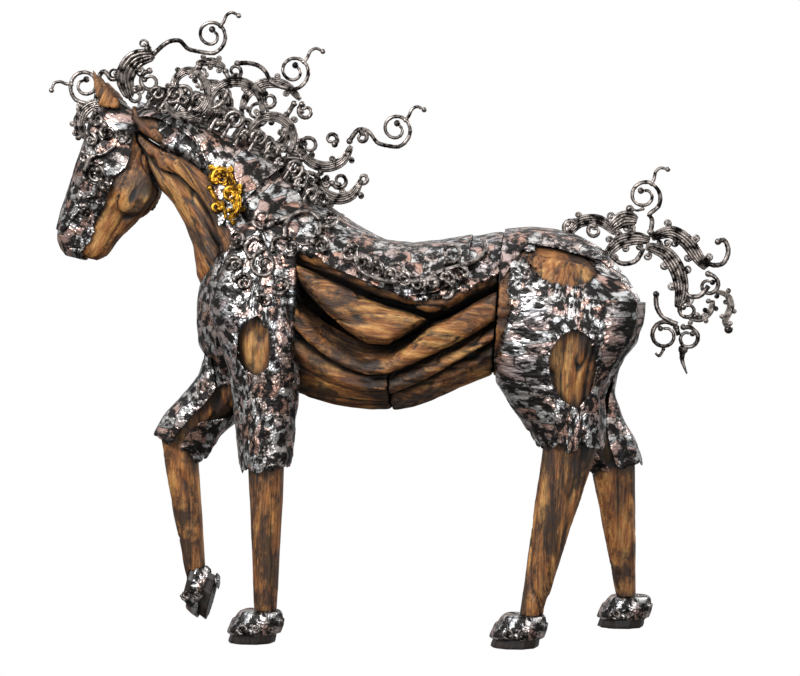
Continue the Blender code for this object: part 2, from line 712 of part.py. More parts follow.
def prism(outline, y_from, y_to):
    bm = bmesh.new()
    near = [bm.verts.new(spot(x, z, y_from)) for x, z in outline]
    far = [bm.verts.new(spot(x, z, y_to)) for x, z in outline]
    bm.faces.new(near)
    bm.faces.new(far[::-1])
    for j in range(len(outline)):
        k = (j + 1) % len(outline)
        bm.faces.new((near[k], near[j], far[j], far[k]))
    bmesh.ops.triangulate(bm, faces=bm.faces)
    bmesh.ops.recalc_face_normals(bm, faces=bm.faces)
    mesh = bpy.data.meshes.new("prism")
    bm.to_mesh(mesh)
    bm.free()
    cutter = bpy.data.objects.new("prism", mesh)
    bpy.context.scene.collection.objects.link(cutter)
    return cutter


def cut_all(obj, cutters, careful=True):
    for cutter in cutters:
        apply_boolean(obj, cutter, "DIFFERENCE", careful)
        bpy.data.objects.remove(cutter)


def legs(collection):
    """Each leg is one built limb of wood; the hooves are cut first, so legs stand on them."""
    poses = {
        ("fore", LEFT): (FORE_STANDING, SOLE_FORE_STANDING, 0.0, "fore_left"),
        ("fore", RIGHT): (FORE_RAISED, TOE_FORE_RAISED, RAISED_HOOF_TURN, "fore_right"),
        ("hind", LEFT): (HIND_STANDING, SOLE_HIND_STANDING, 0.0, "hind_left"),
        ("hind", RIGHT): (HIND_TRAILING, SOLE_HIND_TRAILING, 0.0, "hind_right"),
    }
    limbs, woods, hooves, jackets = {}, [], [], []
    for (end, side), (stations, sole, turn, name) in poses.items():
        limb = Limb(stations, side)
        limbs[(end, side)] = limb
        woods.append(limb_piece(f"leg_{name}", limb, [0.0, 0.5, *SLEEVE_PLACES, limb.last], WOOD, collection))
        toe = HOOF[0][0]
        x = sole[0] - toe * math.cos(turn) if turn else sole[0]
        z = -toe * math.sin(turn)
        place = (share(x), side * share(sole[1]), share(z))
        hoof = Limb(HOOF, side, place=place, turn=turn)
        hooves.append(
            limb_piece(f"hoof_{name}", hoof, HOOF_RINGS, DARK_WOOD, collection)
        )
        rims = [(u, -179, 179) for u in HOOF_RINGS[1:-1]]
        jackets.append(sheet_piece(f"hoof_cover_{name}", hoof, rims, collection, LIMB_SIDES))
    return limbs, woods, hooves, jackets


def split_window_wood(legs_by_key, croup):
    """The dark joints between the slabs that show through the windows."""
    joints = {
        "fore": [[(-30.6, 72.4), (-28.4, 66.4), (-29.8, 60.4)]],
        "hind": [
            [(37.6, 70.4), (38.6, 65.6), (35.6, 58.6)],
            [(38.6, 65.6), (42.6, 70.6)],
            [(43.6, 70.0), (44.2, 62.0), (42.4, 55.4)],
        ],
        "croup": [
            [(32.6, 87.4), (38.4, 82.4), (42.6, 79.4)],
            [(40.0, 89.0), (45.0, 85.4), (48.0, 84.2)],
        ],
    }
    for (end, side), wood in legs_by_key.items():
        outer = side * share(19.5)
        lines = joints[end] + (joints["croup"] if end == "hind" else [])
        cutters = [blade(line, WINDOW_SPLIT, share(5) + WINDOW_SPLIT_DEPTH, outer) for line in lines]
        cut_all(wood, cutters)
    for side in (LEFT, RIGHT):
        outer = side * share(17.5)
        depth = share(5) + WINDOW_SPLIT_DEPTH
        cut_all(croup, [blade(line, WINDOW_SPLIT, depth, outer) for line in joints["croup"]])


def sheet_piece(name, limb, stops, collection, steps=10, play=SHEET_PLAY):
    """Sheet bent over a limb. A stop is (place, first angle, last angle) in degrees."""
    rings = []
    for u, first, last in stops:
        angles = [math.radians(first + (last - first) * i / steps) for i in range(steps + 1)]
        outer = [limb.point(u, angle, play + SHEET) for angle in angles]
        inner = [limb.point(u, angle, play) for angle in reversed(angles)]
        rings.append(outer + inner)
    return loft(name, rings, SHEET_METAL, collection, strip=True)


def wrapped_sheet(name, limb, stops, collection, own, others, steps=10, play=SHEET_PLAY):
    """Sheet that runs both ways round a limb until it comes near another piece.

    A stop is (place, starting angle, lowest angle, highest angle) in degrees.
    """
    walls = [(tree_of(obj), play * 0.8) for obj in own]
    walls += [(tree_of(obj), play + SHEET + SHEET_CLEAR) for obj in others]
    made = []
    for u, seed, low, high in stops:
        limits = []
        for target in (low, high):
            sign = 1 if target > seed else -1
            angle = seed
            while (target - angle) * sign > 0:
                ahead = angle + sign * min(3.0, abs(target - angle))
                point = limb.point(u, math.radians(ahead), play + SHEET / 2)
                if any(tree.find_nearest(point, margin)[0] is not None for tree, margin in walls):
                    break
                angle = ahead
            limits.append(angle)
        if limits[1] - limits[0] > NARROWEST_WRAP:
            made.append([u, limits[0], limits[1]])
    for order in (1, -1):
        for near, far in zip(made[::order], made[::order][1:]):
            far[1] = max(far[1], near[1] - STEEPEST_EDGE)
            far[2] = min(far[2], near[2] + STEEPEST_EDGE)
    return sheet_piece(name, limb, made, collection, steps, play)


def sheets(torso, neck, head, limbs, wood, leg_woods, collection):
    """The nailed metal: over the crest, the back and croup, the chest, shoulders and hips."""
    start, end = torso.place_of(share(FLANK_X[0])), torso.place_of(share(FLANK_X[-1]))
    slope = torso.place_of(share(-14))
    by_name = {obj.name: obj for obj in wood + leg_woods}
    trunk = [obj for obj in wood if obj.name.startswith(("chest", "croup", "back", "belly", "flank"))]
    necks = [obj for obj in wood if obj.name.startswith("neck")]
    heads = [obj for obj in wood if obj.name.startswith(("head", "ear"))]
    back_stops = []
    for u, edge in zip([start, *spaced(slope, end, 6)], SADDLE_EDGE):
        angle = math.degrees(torso.angle_at(u, share(edge)))
        back_stops.append((u, 0, -angle, angle))
    back = wrapped_sheet("back_sheet", torso, back_stops, collection, [], necks + leg_woods, 8)
    croup_stops = [
        (u, 0, -CROUP_WRAP, CROUP_WRAP) for u in spaced(end + SEAT_GAP, torso.last, BLOCK_RINGS)[:-1]
    ]
    croup = wrapped_sheet("croup_sheet", torso, croup_stops, collection, [], leg_woods, 12)
    crest_places = spaced(0.3, neck.last, 14)[3:-1]
    crest_stops = [(u, 180, e, 360 - e) for u, e in zip(crest_places, CREST_WRAP)]
    crest = wrapped_sheet(
        "crest_sheet", neck, crest_stops, collection, [], trunk + heads + leg_woods + [back], 12
    )
    face_stops = [(u, 0, -wrap, wrap) for u, wrap in zip(spaced(0.35, 6.6, 7), FACE_WRAP)]
    face = wrapped_sheet(
        "face_sheet", head, face_stops, collection, [by_name["head_block"]], necks + heads[1:] + [crest]
    )
    made = [back, croup, crest, face]
    for side, tag in ((LEFT, "left"), (RIGHT, "right")):
        fore, hind = limbs[("fore", side)], limbs[("hind", side)]
        outer = 90 * side
        shoulder_stops = []
        for u, (forward, rearward) in zip(SLEEVE_PLACES, SHOULDER_WRAP):
            ends = sorted((outer - side * forward, outer + side * rearward))
            shoulder_stops.append((u, outer, *ends))
        hip_stops = []
        for u, (forward, rearward) in list(zip(SLEEVE_PLACES, HIP_WRAP))[HIP_START[side]:]:
            ends = sorted((outer - side * forward, outer + side * rearward))
            hip_stops.append((u, outer, *ends))
        made.append(wrapped_sheet(
            f"shoulder_sheet_{tag}", fore, shoulder_stops, collection, [], trunk + necks + [back, crest],
            12, LEG_PLAY
        ))
        made.append(wrapped_sheet(
            f"hip_sheet_{tag}", hind, hip_stops, collection, [], trunk + [back, croup], 12, LEG_PLAY
        ))
    chest_stops = [(u, 180, 67.5, 292.5) for u in spaced(0.0, start, BLOCK_RINGS)[2:-1]]
    made.append(wrapped_sheet(
        "chest_sheet", torso, chest_stops, collection, [], necks + leg_woods + made[4:]
    ))
    return made


def cut_windows(metal):
    """Openings in the sheets over the left shoulder, the croup and the left thigh."""
    openings = {
        "shoulder_sheet": [window((-28.6, 66.5), 4.0, 6.6, 0.0)],
        "hip_sheet": [window((41.3, 62.4), 5.4, 8.6, 0.0)],
        "croup_sheet": [window((38.6, 84.4), 8.6, 3.9, -0.2)],
    }
    for sheet in metal:
        kind = sheet.name.rsplit("_", 1)[0] if sheet.name.endswith(("left", "right")) else sheet.name
        for outline in openings.get(kind, []):
            for side in (LEFT, RIGHT):
                if sheet.name.endswith("right") or (sheet.name.endswith("left") and side == RIGHT):
                    continue
                cut_all(sheet, [prism(outline, side * share(12), side * share(30))], careful=False)
                largest_body(sheet)


def arc(centre, radius, start, sweep, end_radius=None, steps_per_turn=9):
    """Places along a curl, in hundredths: its radius runs from the first to the last value."""
    end_radius = radius if end_radius is None else end_radius
    count = max(2, round(abs(sweep) / 360 * steps_per_turn))
    points = []
    for i in range(count + 1):
        t = i / count
        angle = math.radians(start + sweep * t)
        r = radius + (end_radius - radius) * t
        points.append((centre[0] + r * math.cos(angle), centre[1] + r * math.sin(angle)))
    return points


def eased(points, steps=3):
    """More places on a smooth curve through a few."""
    rows = [np.array(p) for p in points]
    made = []
    for i in range((len(rows) - 1) * steps + 1):
        made.append(tuple(catmull(rows, i / steps)))
    return made


class Casting:
    """Collects the rods, bands and knobs of one casting and fuses them."""

    def __init__(self, name, y=0.0, lean=0.0, pivot=120.0, lay=None, side=LEFT):
        self.name, self.y, self.lean, self.pivot, self.side = name, y, lean, pivot, side
        self.lay = lay
        self.meshes = []

    def put(self, place, lift=0.0):
        """A place of the drawing in space."""
        x, z = place
        if self.lay:
            depths = []
            near = 2 * ROD
            for dx, dz in ((0, 0), (near, 0), (-near, 0), (0, near), (0, -near)):
                origin = spot(x, z, self.side * 0.6) + Vector((dx, 0, dz))
                hits = [tree.ray_cast(origin, Vector((0, -self.side, 0))) for tree in self.lay]
                depths += [abs(hit[0].y) for hit in hits if hit[0] is not None]
            surface = max(depths) if depths else 0.05
            return spot(x, z, self.side * (surface + lift))
        return spot(x, z, self.side * (self.y + self.lean * share(z - self.pivot)))

    def rod(self, places, start=ROD, end=ROD, knob=0.0):
        count = len(places) - 1
        radii = [start + (end - start) * i / count for i in range(count + 1)]
        if knob:
            (x1, z1), (x2, z2) = places[-2:]
            reach = 100 * knob / WITHERS_HEIGHT / max(math.hypot(x2 - x1, z2 - z1), 1e-6)
            places = [*places, (x2 + (x2 - x1) * reach, z2 + (z2 - z1) * reach),
                      (x2 + (x2 - x1) * 1.9 * reach, z2 + (z2 - z1) * 1.9 * reach)]
            radii += [knob, knob * 0.5]
        points = [self.put(p, r + LAID_GAP) for p, r in zip(places, radii)]
        self.meshes.append(rod_mesh(self.name, points, radii))

    def ball(self, place, radius=BALL):
        self.meshes.append(ball_mesh(self.put(place, radius + LAID_GAP), radius))

    def curl(self, centre, radius, start, sweep, end_radius, thick=ROD):
        places = arc(centre, radius, start, sweep, end_radius)
        self.rod(places, thick, ROD_TIP, knob=BALL * 0.85)

    def band(self, places, width, taper=0.35):
        count = len(places) - 1
        widths = []
        for i in range(count + 1):
            t = i / count
            widths.append(share(width) * (taper + (1 - taper) * math.sin(math.pi * t) ** 0.7))
        points = [self.put(p, BAND_DEPTH / 2) for p in places]
        self.meshes.append(ribbon_mesh(points, widths, BAND_DEPTH))

    def finial(self, stem, centre, radius, enter=236.0, hook=48.0, flip=1):
        """A stem that winds into an open ring with a knob in it, and a hooked tendril outside."""
        growth = [np.array([value]) for value in (1.42, 1.05, 1.0, 0.98, 0.68, 0.46, 0.36)]
        ring = []
        for i in range(15):
            t = i / 14
            angle = math.radians(enter + 540 * t)
            r = radius * float(catmull(growth, t * (len(growth) - 1))[0])
            ring.append((centre[0] + flip * r * math.cos(angle), centre[1] + r * math.sin(angle)))
        self.rod(eased([*stem, ring[0]], 2)[:-1] + ring, ROD, ROD_TIP, knob=BALL)
        tendril = [(0.97, 0.0), (1.4, 0.02), (1.87, 0.16), (2.3, 0.02), (2.44, -0.34)]
        places = []
        for out, along in tendril:
            c, s = math.cos(math.radians(hook)), math.sin(math.radians(hook))
            x, z = radius * (out * c - along * s), radius * (out * s + along * c)
            places.append((centre[0] + flip * x, centre[1] + z))
        self.rod(eased(places, 2), ROD_TIP * 1.15, ROD_TIP, knob=BALL * 0.8)

    def done(self, collection):
        facets = CAST_FACETS * len(self.meshes)
        obj = joined(self.name, self.meshes, CAST_METAL, collection, facets)
        largest_body(obj)
        return obj


def mane(collection):
    """The scrolls that blow back from the forelock and the crest."""
    made = []
    forelock = Casting("forelock_scroll", 0.0, 0.0)
    forelock.finial([(-67.6, 117.6), (-68.4, 120.4)], (-70.6, 125.4), 3.0, 262, 4, flip=-1)
    forelock.band(arc((-67.2, 116.8), 4.4, 60, 170), 2.6)
    forelock.band(eased([(-70.6, 119.6), (-72.2, 117.6), (-71.6, 114.8), (-70.2, 113.4)], 2), 1.9)
    forelock.rod(eased([(-68.0, 121.0), (-67.0, 127.4), (-65.6, 128.4), (-64.4, 126.9), (-63.4, 126.8)], 2))
    forelock.ball((-63.4, 126.8), BALL * 0.8)
    made.append(forelock.done(collection))

    poll = Casting("mane_poll_scroll", 0.02, 0.16)
    poll.band(arc((-54.4, 125.8), 6.2, 214, -132), 4.4)
    poll.finial(
        [(-54.2, 131.6), (-52.4, 133.3), (-50.2, 134.8), (-47.6, 135.0), (-45.8, 133.2)],
        (-40.2, 136.0), 3.0,
    )
    poll.curl((-54.8, 126.0), 2.4, 90, 400, 1.0)
    poll.curl((-58.2, 122.8), 1.9, 60, 360, 0.8)
    poll.ball((-55.0, 133.2), BALL * 1.2)
    poll.band(arc((-51.6, 121.0), 2.8, 190, -130), 2.2)
    made.append(poll.done(collection))

    ring = Casting("mane_ring_scroll", -0.035, -0.10)
    ring.band(arc((-46.2, 125.4), 4.9, -60, -330, 2.6, 8), 1.9)
    ring.band(eased([(-45.2, 130.4), (-41.4, 130.8), (-38.4, 129.4)], 2), 2.0)
    ring.curl((-43.9, 128.6), 1.6, 100, 330, 0.7)
    ring.curl((-36.2, 128.6), 2.1, 180, 400, 0.7)
    ring.finial([(-35.6, 130.4), (-33.2, 130.5), (-30.6, 129.8), (-28.9, 128.2), (-27.6, 126.0)],
                (-22.3, 128.4), 3.1)
    ring.band(arc((-48.6, 120.6), 2.6, 10, 190), 1.8)
    made.append(ring.done(collection))

    front = Casting("mane_front_comb", -0.085, -0.06)
    front.band(arc((-43.2, 121.6), 4.7, 215, 240), 3.4)
    front.curl((-43.4, 121.8), 2.2, 150, 400, 0.8)
    front.curl((-48.2, 119.0), 1.7, 60, 340, 0.7)
    made.append(front.done(collection))

    great = Casting("mane_great_ring", -0.06, -0.08)
    great.band(arc((-28.0, 118.8), 6.9, 175, -150, 7.6), 2.4)
    great.curl((-31.2, 119.2), 3.6, 180, 430, 1.2)
    great.band(arc((-29.4, 116.0), 5.6, 190, 190), 2.6)
    great.curl((-19.8, 119.4), 1.9, 120, 380, 0.7)
    great.rod(eased([(-22.6, 121.2), (-24.6, 117.6), (-25.2, 113.4)], 2))
    great.curl((-28.4, 122.0), 1.8, 220, 330, 0.8)
    made.append(great.done(collection))

    long_lock = Casting("mane_long_lock", 0.015, 0.10)
    long_lock.band(arc((-14.6, 112.8), 6.6, 186, 160, 5.8), 2.4)
    long_lock.curl((-18.6, 111.4), 2.3, 230, -400, 0.8)
    long_lock.finial([(-9.4, 112.4), (-7.6, 114.8), (-5.6, 114.8), (-4.2, 113.6), (-3.0, 112.0)],
                     (1.4, 114.9), 3.0)
    long_lock.curl((-13.5, 112.9), 1.4, -60, 330, 0.7)
    long_lock.curl((-6.6, 113.2), 1.3, 90, -330, 0.6)
    long_lock.curl((-22.4, 108.6), 1.8, 20, 340, 0.8)
    long_lock.rod(eased([(-20.4, 108.4), (-24.0, 108.6), (-27.4, 107.4)], 2))
    made.append(long_lock.done(collection))

    low = Casting("mane_low_lock", -0.05, 0.12, 104.0)
    low.band(arc((-12.2, 104.6), 5.2, 176, 170), 2.6)
    low.curl((-12.0, 103.6), 1.9, 200, 380, 0.7)
    low.curl((-6.6, 104.0), 1.1, 240, 300, 0.6)
    low.curl((-15.0, 103.0), 1.2, 90, 330, 0.5)
    low.rod(eased([(-17.2, 104.6), (-19.6, 105.4), (-22.4, 103.4)], 2))
    made.append(low.done(collection))

    far = Casting("mane_far_rings", 0.085, 0.05)
    far.band(arc((-46.0, 123.0), 5.2, 200, 230), 2.2)
    far.band(arc((-34.6, 119.4), 6.2, 190, -200), 2.2)
    far.band(arc((-26.6, 112.6), 5.2, 160, -200), 2.2)
    far.rod(eased([(-42.0, 122.0), (-40.4, 119.6), (-37.6, 121.0), (-36.4, 124.0)], 2))
    made.append(far.done(collection))
    return made


def tail(collection):
    """The tail: scrolls along the dock, a curl that stands up, and arcs that fall behind."""
    root = Casting("tail_root_scroll", 0.0, 0.0)
    root.band(arc((45.4, 88.4), 6.2, 158, -130), 2.6)
    root.curl((40.6, 92.6), 1.8, 60, 380, 0.7)
    root.curl((46.0, 92.0), 1.6, 90, 330, 0.8)
    root.band(eased([(49.6, 92.4), (52.6, 94.8), (55.6, 94.4)], 2), 3.4)
    root.band(eased([(48.6, 86.4), (51.4, 89.4), (55.4, 90.4), (58.4, 89.8)], 2), 3.0)
    root.rod(eased([(49.4, 86.6), (52.2, 84.7), (55.4, 85.4), (57.0, 88.2)], 2))
    made = [root.done(collection)]

    curl = Casting("tail_upper_curl", 0.0, 0.0)
    curl.finial([(58.6, 91.8), (58.9, 94.4)], (57.4, 100.0), 3.0, 282, 62)
    curl.rod(eased([(56.8, 97.0), (55.4, 96.6), (54.0, 97.4)], 2), ROD_TIP, ROD_TIP * 0.6)
    made.append(curl.done(collection))

    outer = Casting("tail_outer_arc", -0.02, 0.0)
    outer.band(eased([(58.8, 90.4), (63.0, 91.8), (66.8, 89.6), (69.2, 86.2), (71.2, 83.6)], 2), 3.2)
    outer.rod(eased([(70.6, 85.8), (72.4, 84.4), (74.9, 84.8), (76.0, 87.4), (75.2, 89.9), (73.7, 89.6)], 2))
    outer.ball((73.7, 89.6))
    outer.curl((71.6, 79.8), 2.6, 90, -380, 0.9)
    outer.band(eased([(73.0, 78.4), (75.8, 77.6), (76.6, 74.8), (75.4, 71.8), (76.2, 69.9)], 2), 1.6)
    outer.ball((76.2, 69.9), BALL * 1.3)
    made.append(outer.done(collection))

    inner = Casting("tail_inner_arc", 0.045, 0.0)
    inner.band(eased([(57.4, 88.6), (61.6, 87.2), (64.4, 83.4), (65.4, 78.8), (64.6, 74.8)], 2), 3.4)
    inner.rod(eased([(65.4, 80.0), (67.0, 77.6), (69.6, 77.6), (71.4, 79.8)], 2))
    inner.curl((66.9, 74.4), 2.2, 100, 380, 0.9)
    inner.rod(eased([(59.8, 77.9), (59.9, 75.2), (61.4, 72.8), (64.6, 71.2)], 2))
    inner.band(eased([(67.0, 72.6), (69.6, 72.4), (71.8, 74.2), (72.4, 76.6)], 2), 1.6)
    made.append(inner.done(collection))

    drop = Casting("tail_drop_rings", 0.0, 0.0)
    drop.curl((61.9, 68.5), 3.3, 60, 400, 1.6)
    drop.curl((67.0, 67.9), 2.7, 110, -400, 1.2)
    drop.rod(eased([(61.6, 65.4), (60.7, 63.9), (59.9, 64.6)], 2), ROD_TIP, ROD_TIP)
    drop.rod(eased([(66.0, 65.4), (65.8, 63.0), (66.9, 59.9)], 2), BALL, ROD_TIP * 0.5)
    drop.rod([(64.4, 70.4), (65.0, 68.6)])
    made.append(drop.done(collection))
    return made


def laid_scrolls(grounds, collection):
    """Scrolls nailed flat on the face, the shoulders and the back, the same on both sides."""
    trees = [tree_of(obj) for obj in grounds]
    made = []
    for side, tag in ((LEFT, "left"), (RIGHT, "right")):
        face = Casting(f"face_scroll_{tag}", lay=trees, side=side)
        face.curl((-66.5, 104.9), 2.6, 200, -470, 0.9)
        face.rod(eased([(-68.9, 105.8), (-67.4, 108.6), (-64.4, 109.4), (-61.8, 111.4)], 2), ROD, ROD_TIP)
        face.rod(eased([(-66.0, 102.4), (-66.8, 100.2), (-68.6, 99.6)], 2), ROD_TIP, ROD_TIP)
        made.append(face.done(collection))

        shoulder = Casting(f"shoulder_scroll_{tag}", lay=trees, side=side)
        shoulder.curl((-26.7, 84.6), 3.3, 100, 500, 0.8)
        shoulder.rod(eased([(-25.0, 87.6), (-24.6, 90.4), (-22.4, 91.0)], 2))
        shoulder.curl((-18.4, 92.4), 4.4, 200, -330, 3.4)
        shoulder.curl((-28.0, 94.8), 2.6, 330, -330, 1.0)
        shoulder.rod(eased([(-25.6, 93.6), (-23.4, 94.6), (-21.6, 95.4)], 2))
        shoulder.rod(eased([(-29.8, 86.0), (-31.4, 88.4), (-29.2, 90.6), (-27.4, 89.4)], 2))
        made.append(shoulder.done(collection))

        back = Casting(f"back_scroll_{tag}", lay=trees, side=side)
        back.rod(eased([(-6.6, 88.4), (-6.2, 85.0), (-3.6, 82.2), (1.6, 80.9), (7.4, 80.9), (12.4, 81.5),
                        (15.0, 79.6), (14.6, 77.6), (12.9, 77.4)], 2))
        back.rod(eased([(9.0, 81.0), (12.6, 83.2), (18.6, 85.0), (22.0, 87.4), (21.6, 90.0)], 2))
        back.curl((2.4, 83.4), 2.0, 260, 300, 1.2)
        back.curl((14.4, 87.1), 2.4, 250, 330, 1.3)
        made.append(back.done(collection))
    return made


def settle(collection):
    """Moves the finished figure so that its box stands centred on the origin."""
    low = Vector((1e9, 1e9, 1e9))
    high = -low
    for obj in collection.objects:
        for vert in obj.data.vertices:
            low = Vector(map(min, low, vert.co))
            high = Vector(map(max, high, vert.co))
    shift = Vector((-(low.x + high.x) / 2, -(low.y + high.y) / 2, -low.z))
    for obj in collection.objects:
        obj.data.transform(Matrix.Translation(shift))


def main():
    clear_scene()
    horse = make_collection("driftwood_horse")
    torso = Limb(TORSO)
    neck = Limb(NECK)
    head = Limb(HEAD, squareness=2.4)
    barrel = torso_slabs(torso, horse)
    croup = next(piece for piece in barrel if piece.name == "croup_block")
    wood = barrel + neck_slabs(neck, horse)
    wood += [head_piece(head, horse), ear(LEFT, "left", horse), ear(RIGHT, "right", horse)]
    limbs, leg_woods, hooves, jackets = legs(horse)
    fit_pieces(hooves + wood + leg_woods)
    split_window_wood(dict(zip(limbs, leg_woods)), croup)
    metal = sheets(torso, neck, head, limbs, wood, leg_woods, horse)
    cut_windows(metal)
    head_block = next(piece for piece in wood if piece.name == "head_block")
    pairs = [(barrel[0], metal[-1]), (croup, metal[1]), (head_block, metal[3])]
    pairs += [(leg_woods[1], jackets[1]), (leg_woods[2], metal[1]), (leg_woods[3], metal[1])]
    for block, sheet in pairs:
        fit_pieces([block, sheet])
    pieces = hooves + wood + leg_woods + metal + jackets
    castings = mane(horse) + tail(horse) + laid_scrolls(metal + wood + leg_woods, horse)
    fit_pieces(pieces + castings, len(pieces))
    settle(horse)
    for obj in horse.objects:
        for face in obj.data.polygons:
            face.use_smooth = obj.name.split("_")[0] not in ("hoof",)


main()
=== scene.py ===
import math

import bmesh
import bpy
import numpy as np
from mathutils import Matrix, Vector, noise
from mathutils.bvhtree import BVHTree


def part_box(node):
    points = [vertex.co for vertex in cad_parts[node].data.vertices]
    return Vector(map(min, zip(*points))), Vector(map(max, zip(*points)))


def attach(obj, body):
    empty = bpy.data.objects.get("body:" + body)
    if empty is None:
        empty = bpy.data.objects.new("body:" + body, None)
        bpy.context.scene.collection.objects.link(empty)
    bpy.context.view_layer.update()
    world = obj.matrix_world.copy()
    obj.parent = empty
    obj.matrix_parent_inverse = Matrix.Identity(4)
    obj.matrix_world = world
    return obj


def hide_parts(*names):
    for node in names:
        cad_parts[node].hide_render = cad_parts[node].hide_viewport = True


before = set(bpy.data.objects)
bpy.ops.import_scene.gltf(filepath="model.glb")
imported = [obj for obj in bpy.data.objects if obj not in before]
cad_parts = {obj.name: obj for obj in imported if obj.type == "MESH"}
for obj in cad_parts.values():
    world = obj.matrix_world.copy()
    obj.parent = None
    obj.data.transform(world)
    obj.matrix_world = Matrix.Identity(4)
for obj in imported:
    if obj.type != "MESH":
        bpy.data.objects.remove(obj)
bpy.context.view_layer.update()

WITHERS_HEIGHT = 1.60
LEFT, RIGHT = -1, 1
ROD = 0.0085
ROD_TIP = 0.0052
BALL = 0.0125
BAND_DEPTH = 0.020
STRANDS = 5
TUBE_SIDES = 8
WOOD_GRID = 0.0088  # size of the mesh cells on the driftwood
HOOF_GRID = 0.005
SHEET_CUTS = 3
SHEET_KEPT = 0.45  # share of a sheet's triangles kept once it is beaten
CLADDING_KEPT = 0.36
WOOD_DEPTH = 0.008  # how deep the driftwood is cracked
LEG_DEPTH = 0.010
SHEET_DENT = 0.0025  # how far a sheet's face is beaten in or out
HEM_HEIGHT = 0.09  # of the torn lower edge of a shoulder or hip sheet
HEM_TEAR = 0.035
CLADDING_GAP = 0.006  # between the wood and the patches nailed on it
CLADDING_DENT = 0.003
CLADDING_SHEET = 0.003
SOLE_X = 47.1  # the trailing hind hoof's toe in the drawing, in hundredths of the withers height
TRUNK = (1.0, 0, -0.12)  # the way that each part of the body runs
UPRIGHT = (0.05, 0, 1.0)
CHEST = (0.1, 0, 1.0)
NECK = (-0.55, 0, 0.83)
HEAD = (-0.45, 0, -0.89)
# Openings in the cladding: middle, half width, half height and turn, in hundredths
SHOULDER_WINDOW = ((-28.6, 66.5), 4.0, 6.6)
THIGH_WINDOW = ((41.3, 62.4), 5.4, 8.6)
CROUP_WINDOW = ((38.6, 84.4), 8.6, 3.9, -0.2)
HEM_X = (-20.7, -10.0, -2.0, 7.7, 17.9, 24.7)  # the lower edge of the cladding over the flank
HEM_Z = (87.7, 84.5, 79.8, 76.6, 79.1, 82.3)
SENSOR_MM = 36.0
LENS_MM = 92.79
CAMERA_PLACE = (0.6475, -7.475, 1.438)
CAMERA_DOWN = 2.707  # degrees
CAMERA_TURN = 4.7
PHOTO_SIZE = (800, 676)
noise.seed_set(7)


def share(value):
    return value * WITHERS_HEIGHT / 100


SHIFT_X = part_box("hoof_hind_right")[0].x - share(SOLE_X)


def spot(x, z, y=0.0):
    return Vector((share(x) + SHIFT_X, y, share(z)))


def catmull(rows, u):
    """A smooth curve through evenly spaced rows of numbers, at place u."""
    last = len(rows) - 1
    u = min(max(u, 0.0), float(last))
    i = min(int(u), last - 1)
    t = u - i
    before, a = rows[max(i - 1, 0)], rows[i]
    b, after = rows[i + 1], rows[min(i + 2, last)]
    bend = (2 * before - 5 * a + 4 * b - after) * t + (3 * (a - b) + after - before) * t * t
    return a + 0.5 * t * ((b - before) + bend)


def linear(code):
    """A colour written as six hex digits, in linear light."""
    parts = [int(code[i:i + 2], 16) / 255 for i in (0, 2, 4)]
    return tuple(c / 12.92 if c <= 0.04045 else ((c + 0.055) / 1.055) ** 2.4 for c in parts) + (1.0,)


class Shader:
    """A material and short ways to add and link its nodes."""

    def __init__(self, name):
        self.material = bpy.data.materials.new(name)
        self.material.use_nodes = True
        self.tree = self.material.node_tree
        self.surface = self.tree.nodes["Principled BSDF"]

    def add(self, kind, inputs=None, **settings):
        node = self.tree.nodes.new("ShaderNode" + kind)
        for key, value in settings.items():
            setattr(node, key, value)
        for key, value in (inputs or {}).items():
            if isinstance(value, bpy.types.NodeSocket):
                self.tree.links.new(value, node.inputs[key])
            else:
                node.inputs[key].default_value = value
        return node

    def ramp(self, factor, stops):
        node = self.add("ValToRGB", {"Fac": factor})
        elements = node.color_ramp.elements
        while len(elements) < len(stops):
            elements.new(0.5)
        for element, (place, colour) in zip(elements, stops):
            element.position = place
            element.color = colour if len(colour) == 4 else (*colour * 3, 1.0)
        return node.outputs["Color"]

    def mix(self, factor, one, two, blend="MIX"):
        node = self.add("Mix", {"Factor": factor}, data_type="RGBA", blend_type=blend)
        for index, value in ((6, one), (7, two)):
            if isinstance(value, bpy.types.NodeSocket):
                self.tree.links.new(value, node.inputs[index])
            else:
                node.inputs[index].default_value = value
        return node.outputs[2]

    def set(self, name, value):
        if isinstance(value, bpy.types.NodeSocket):
            self.tree.links.new(value, self.surface.inputs[name])
        else:
            self.surface.inputs[name].default_value = value

    def bump(self, height, strength, distance, under=None):
        inputs = {"Height": height, "Strength": strength, "Distance": distance}
        if under is not None:
            inputs["Normal"] = under
        return self.add("Bump", inputs).outputs["Normal"]


def grey(value):
    return (value, value, value, 1.0)


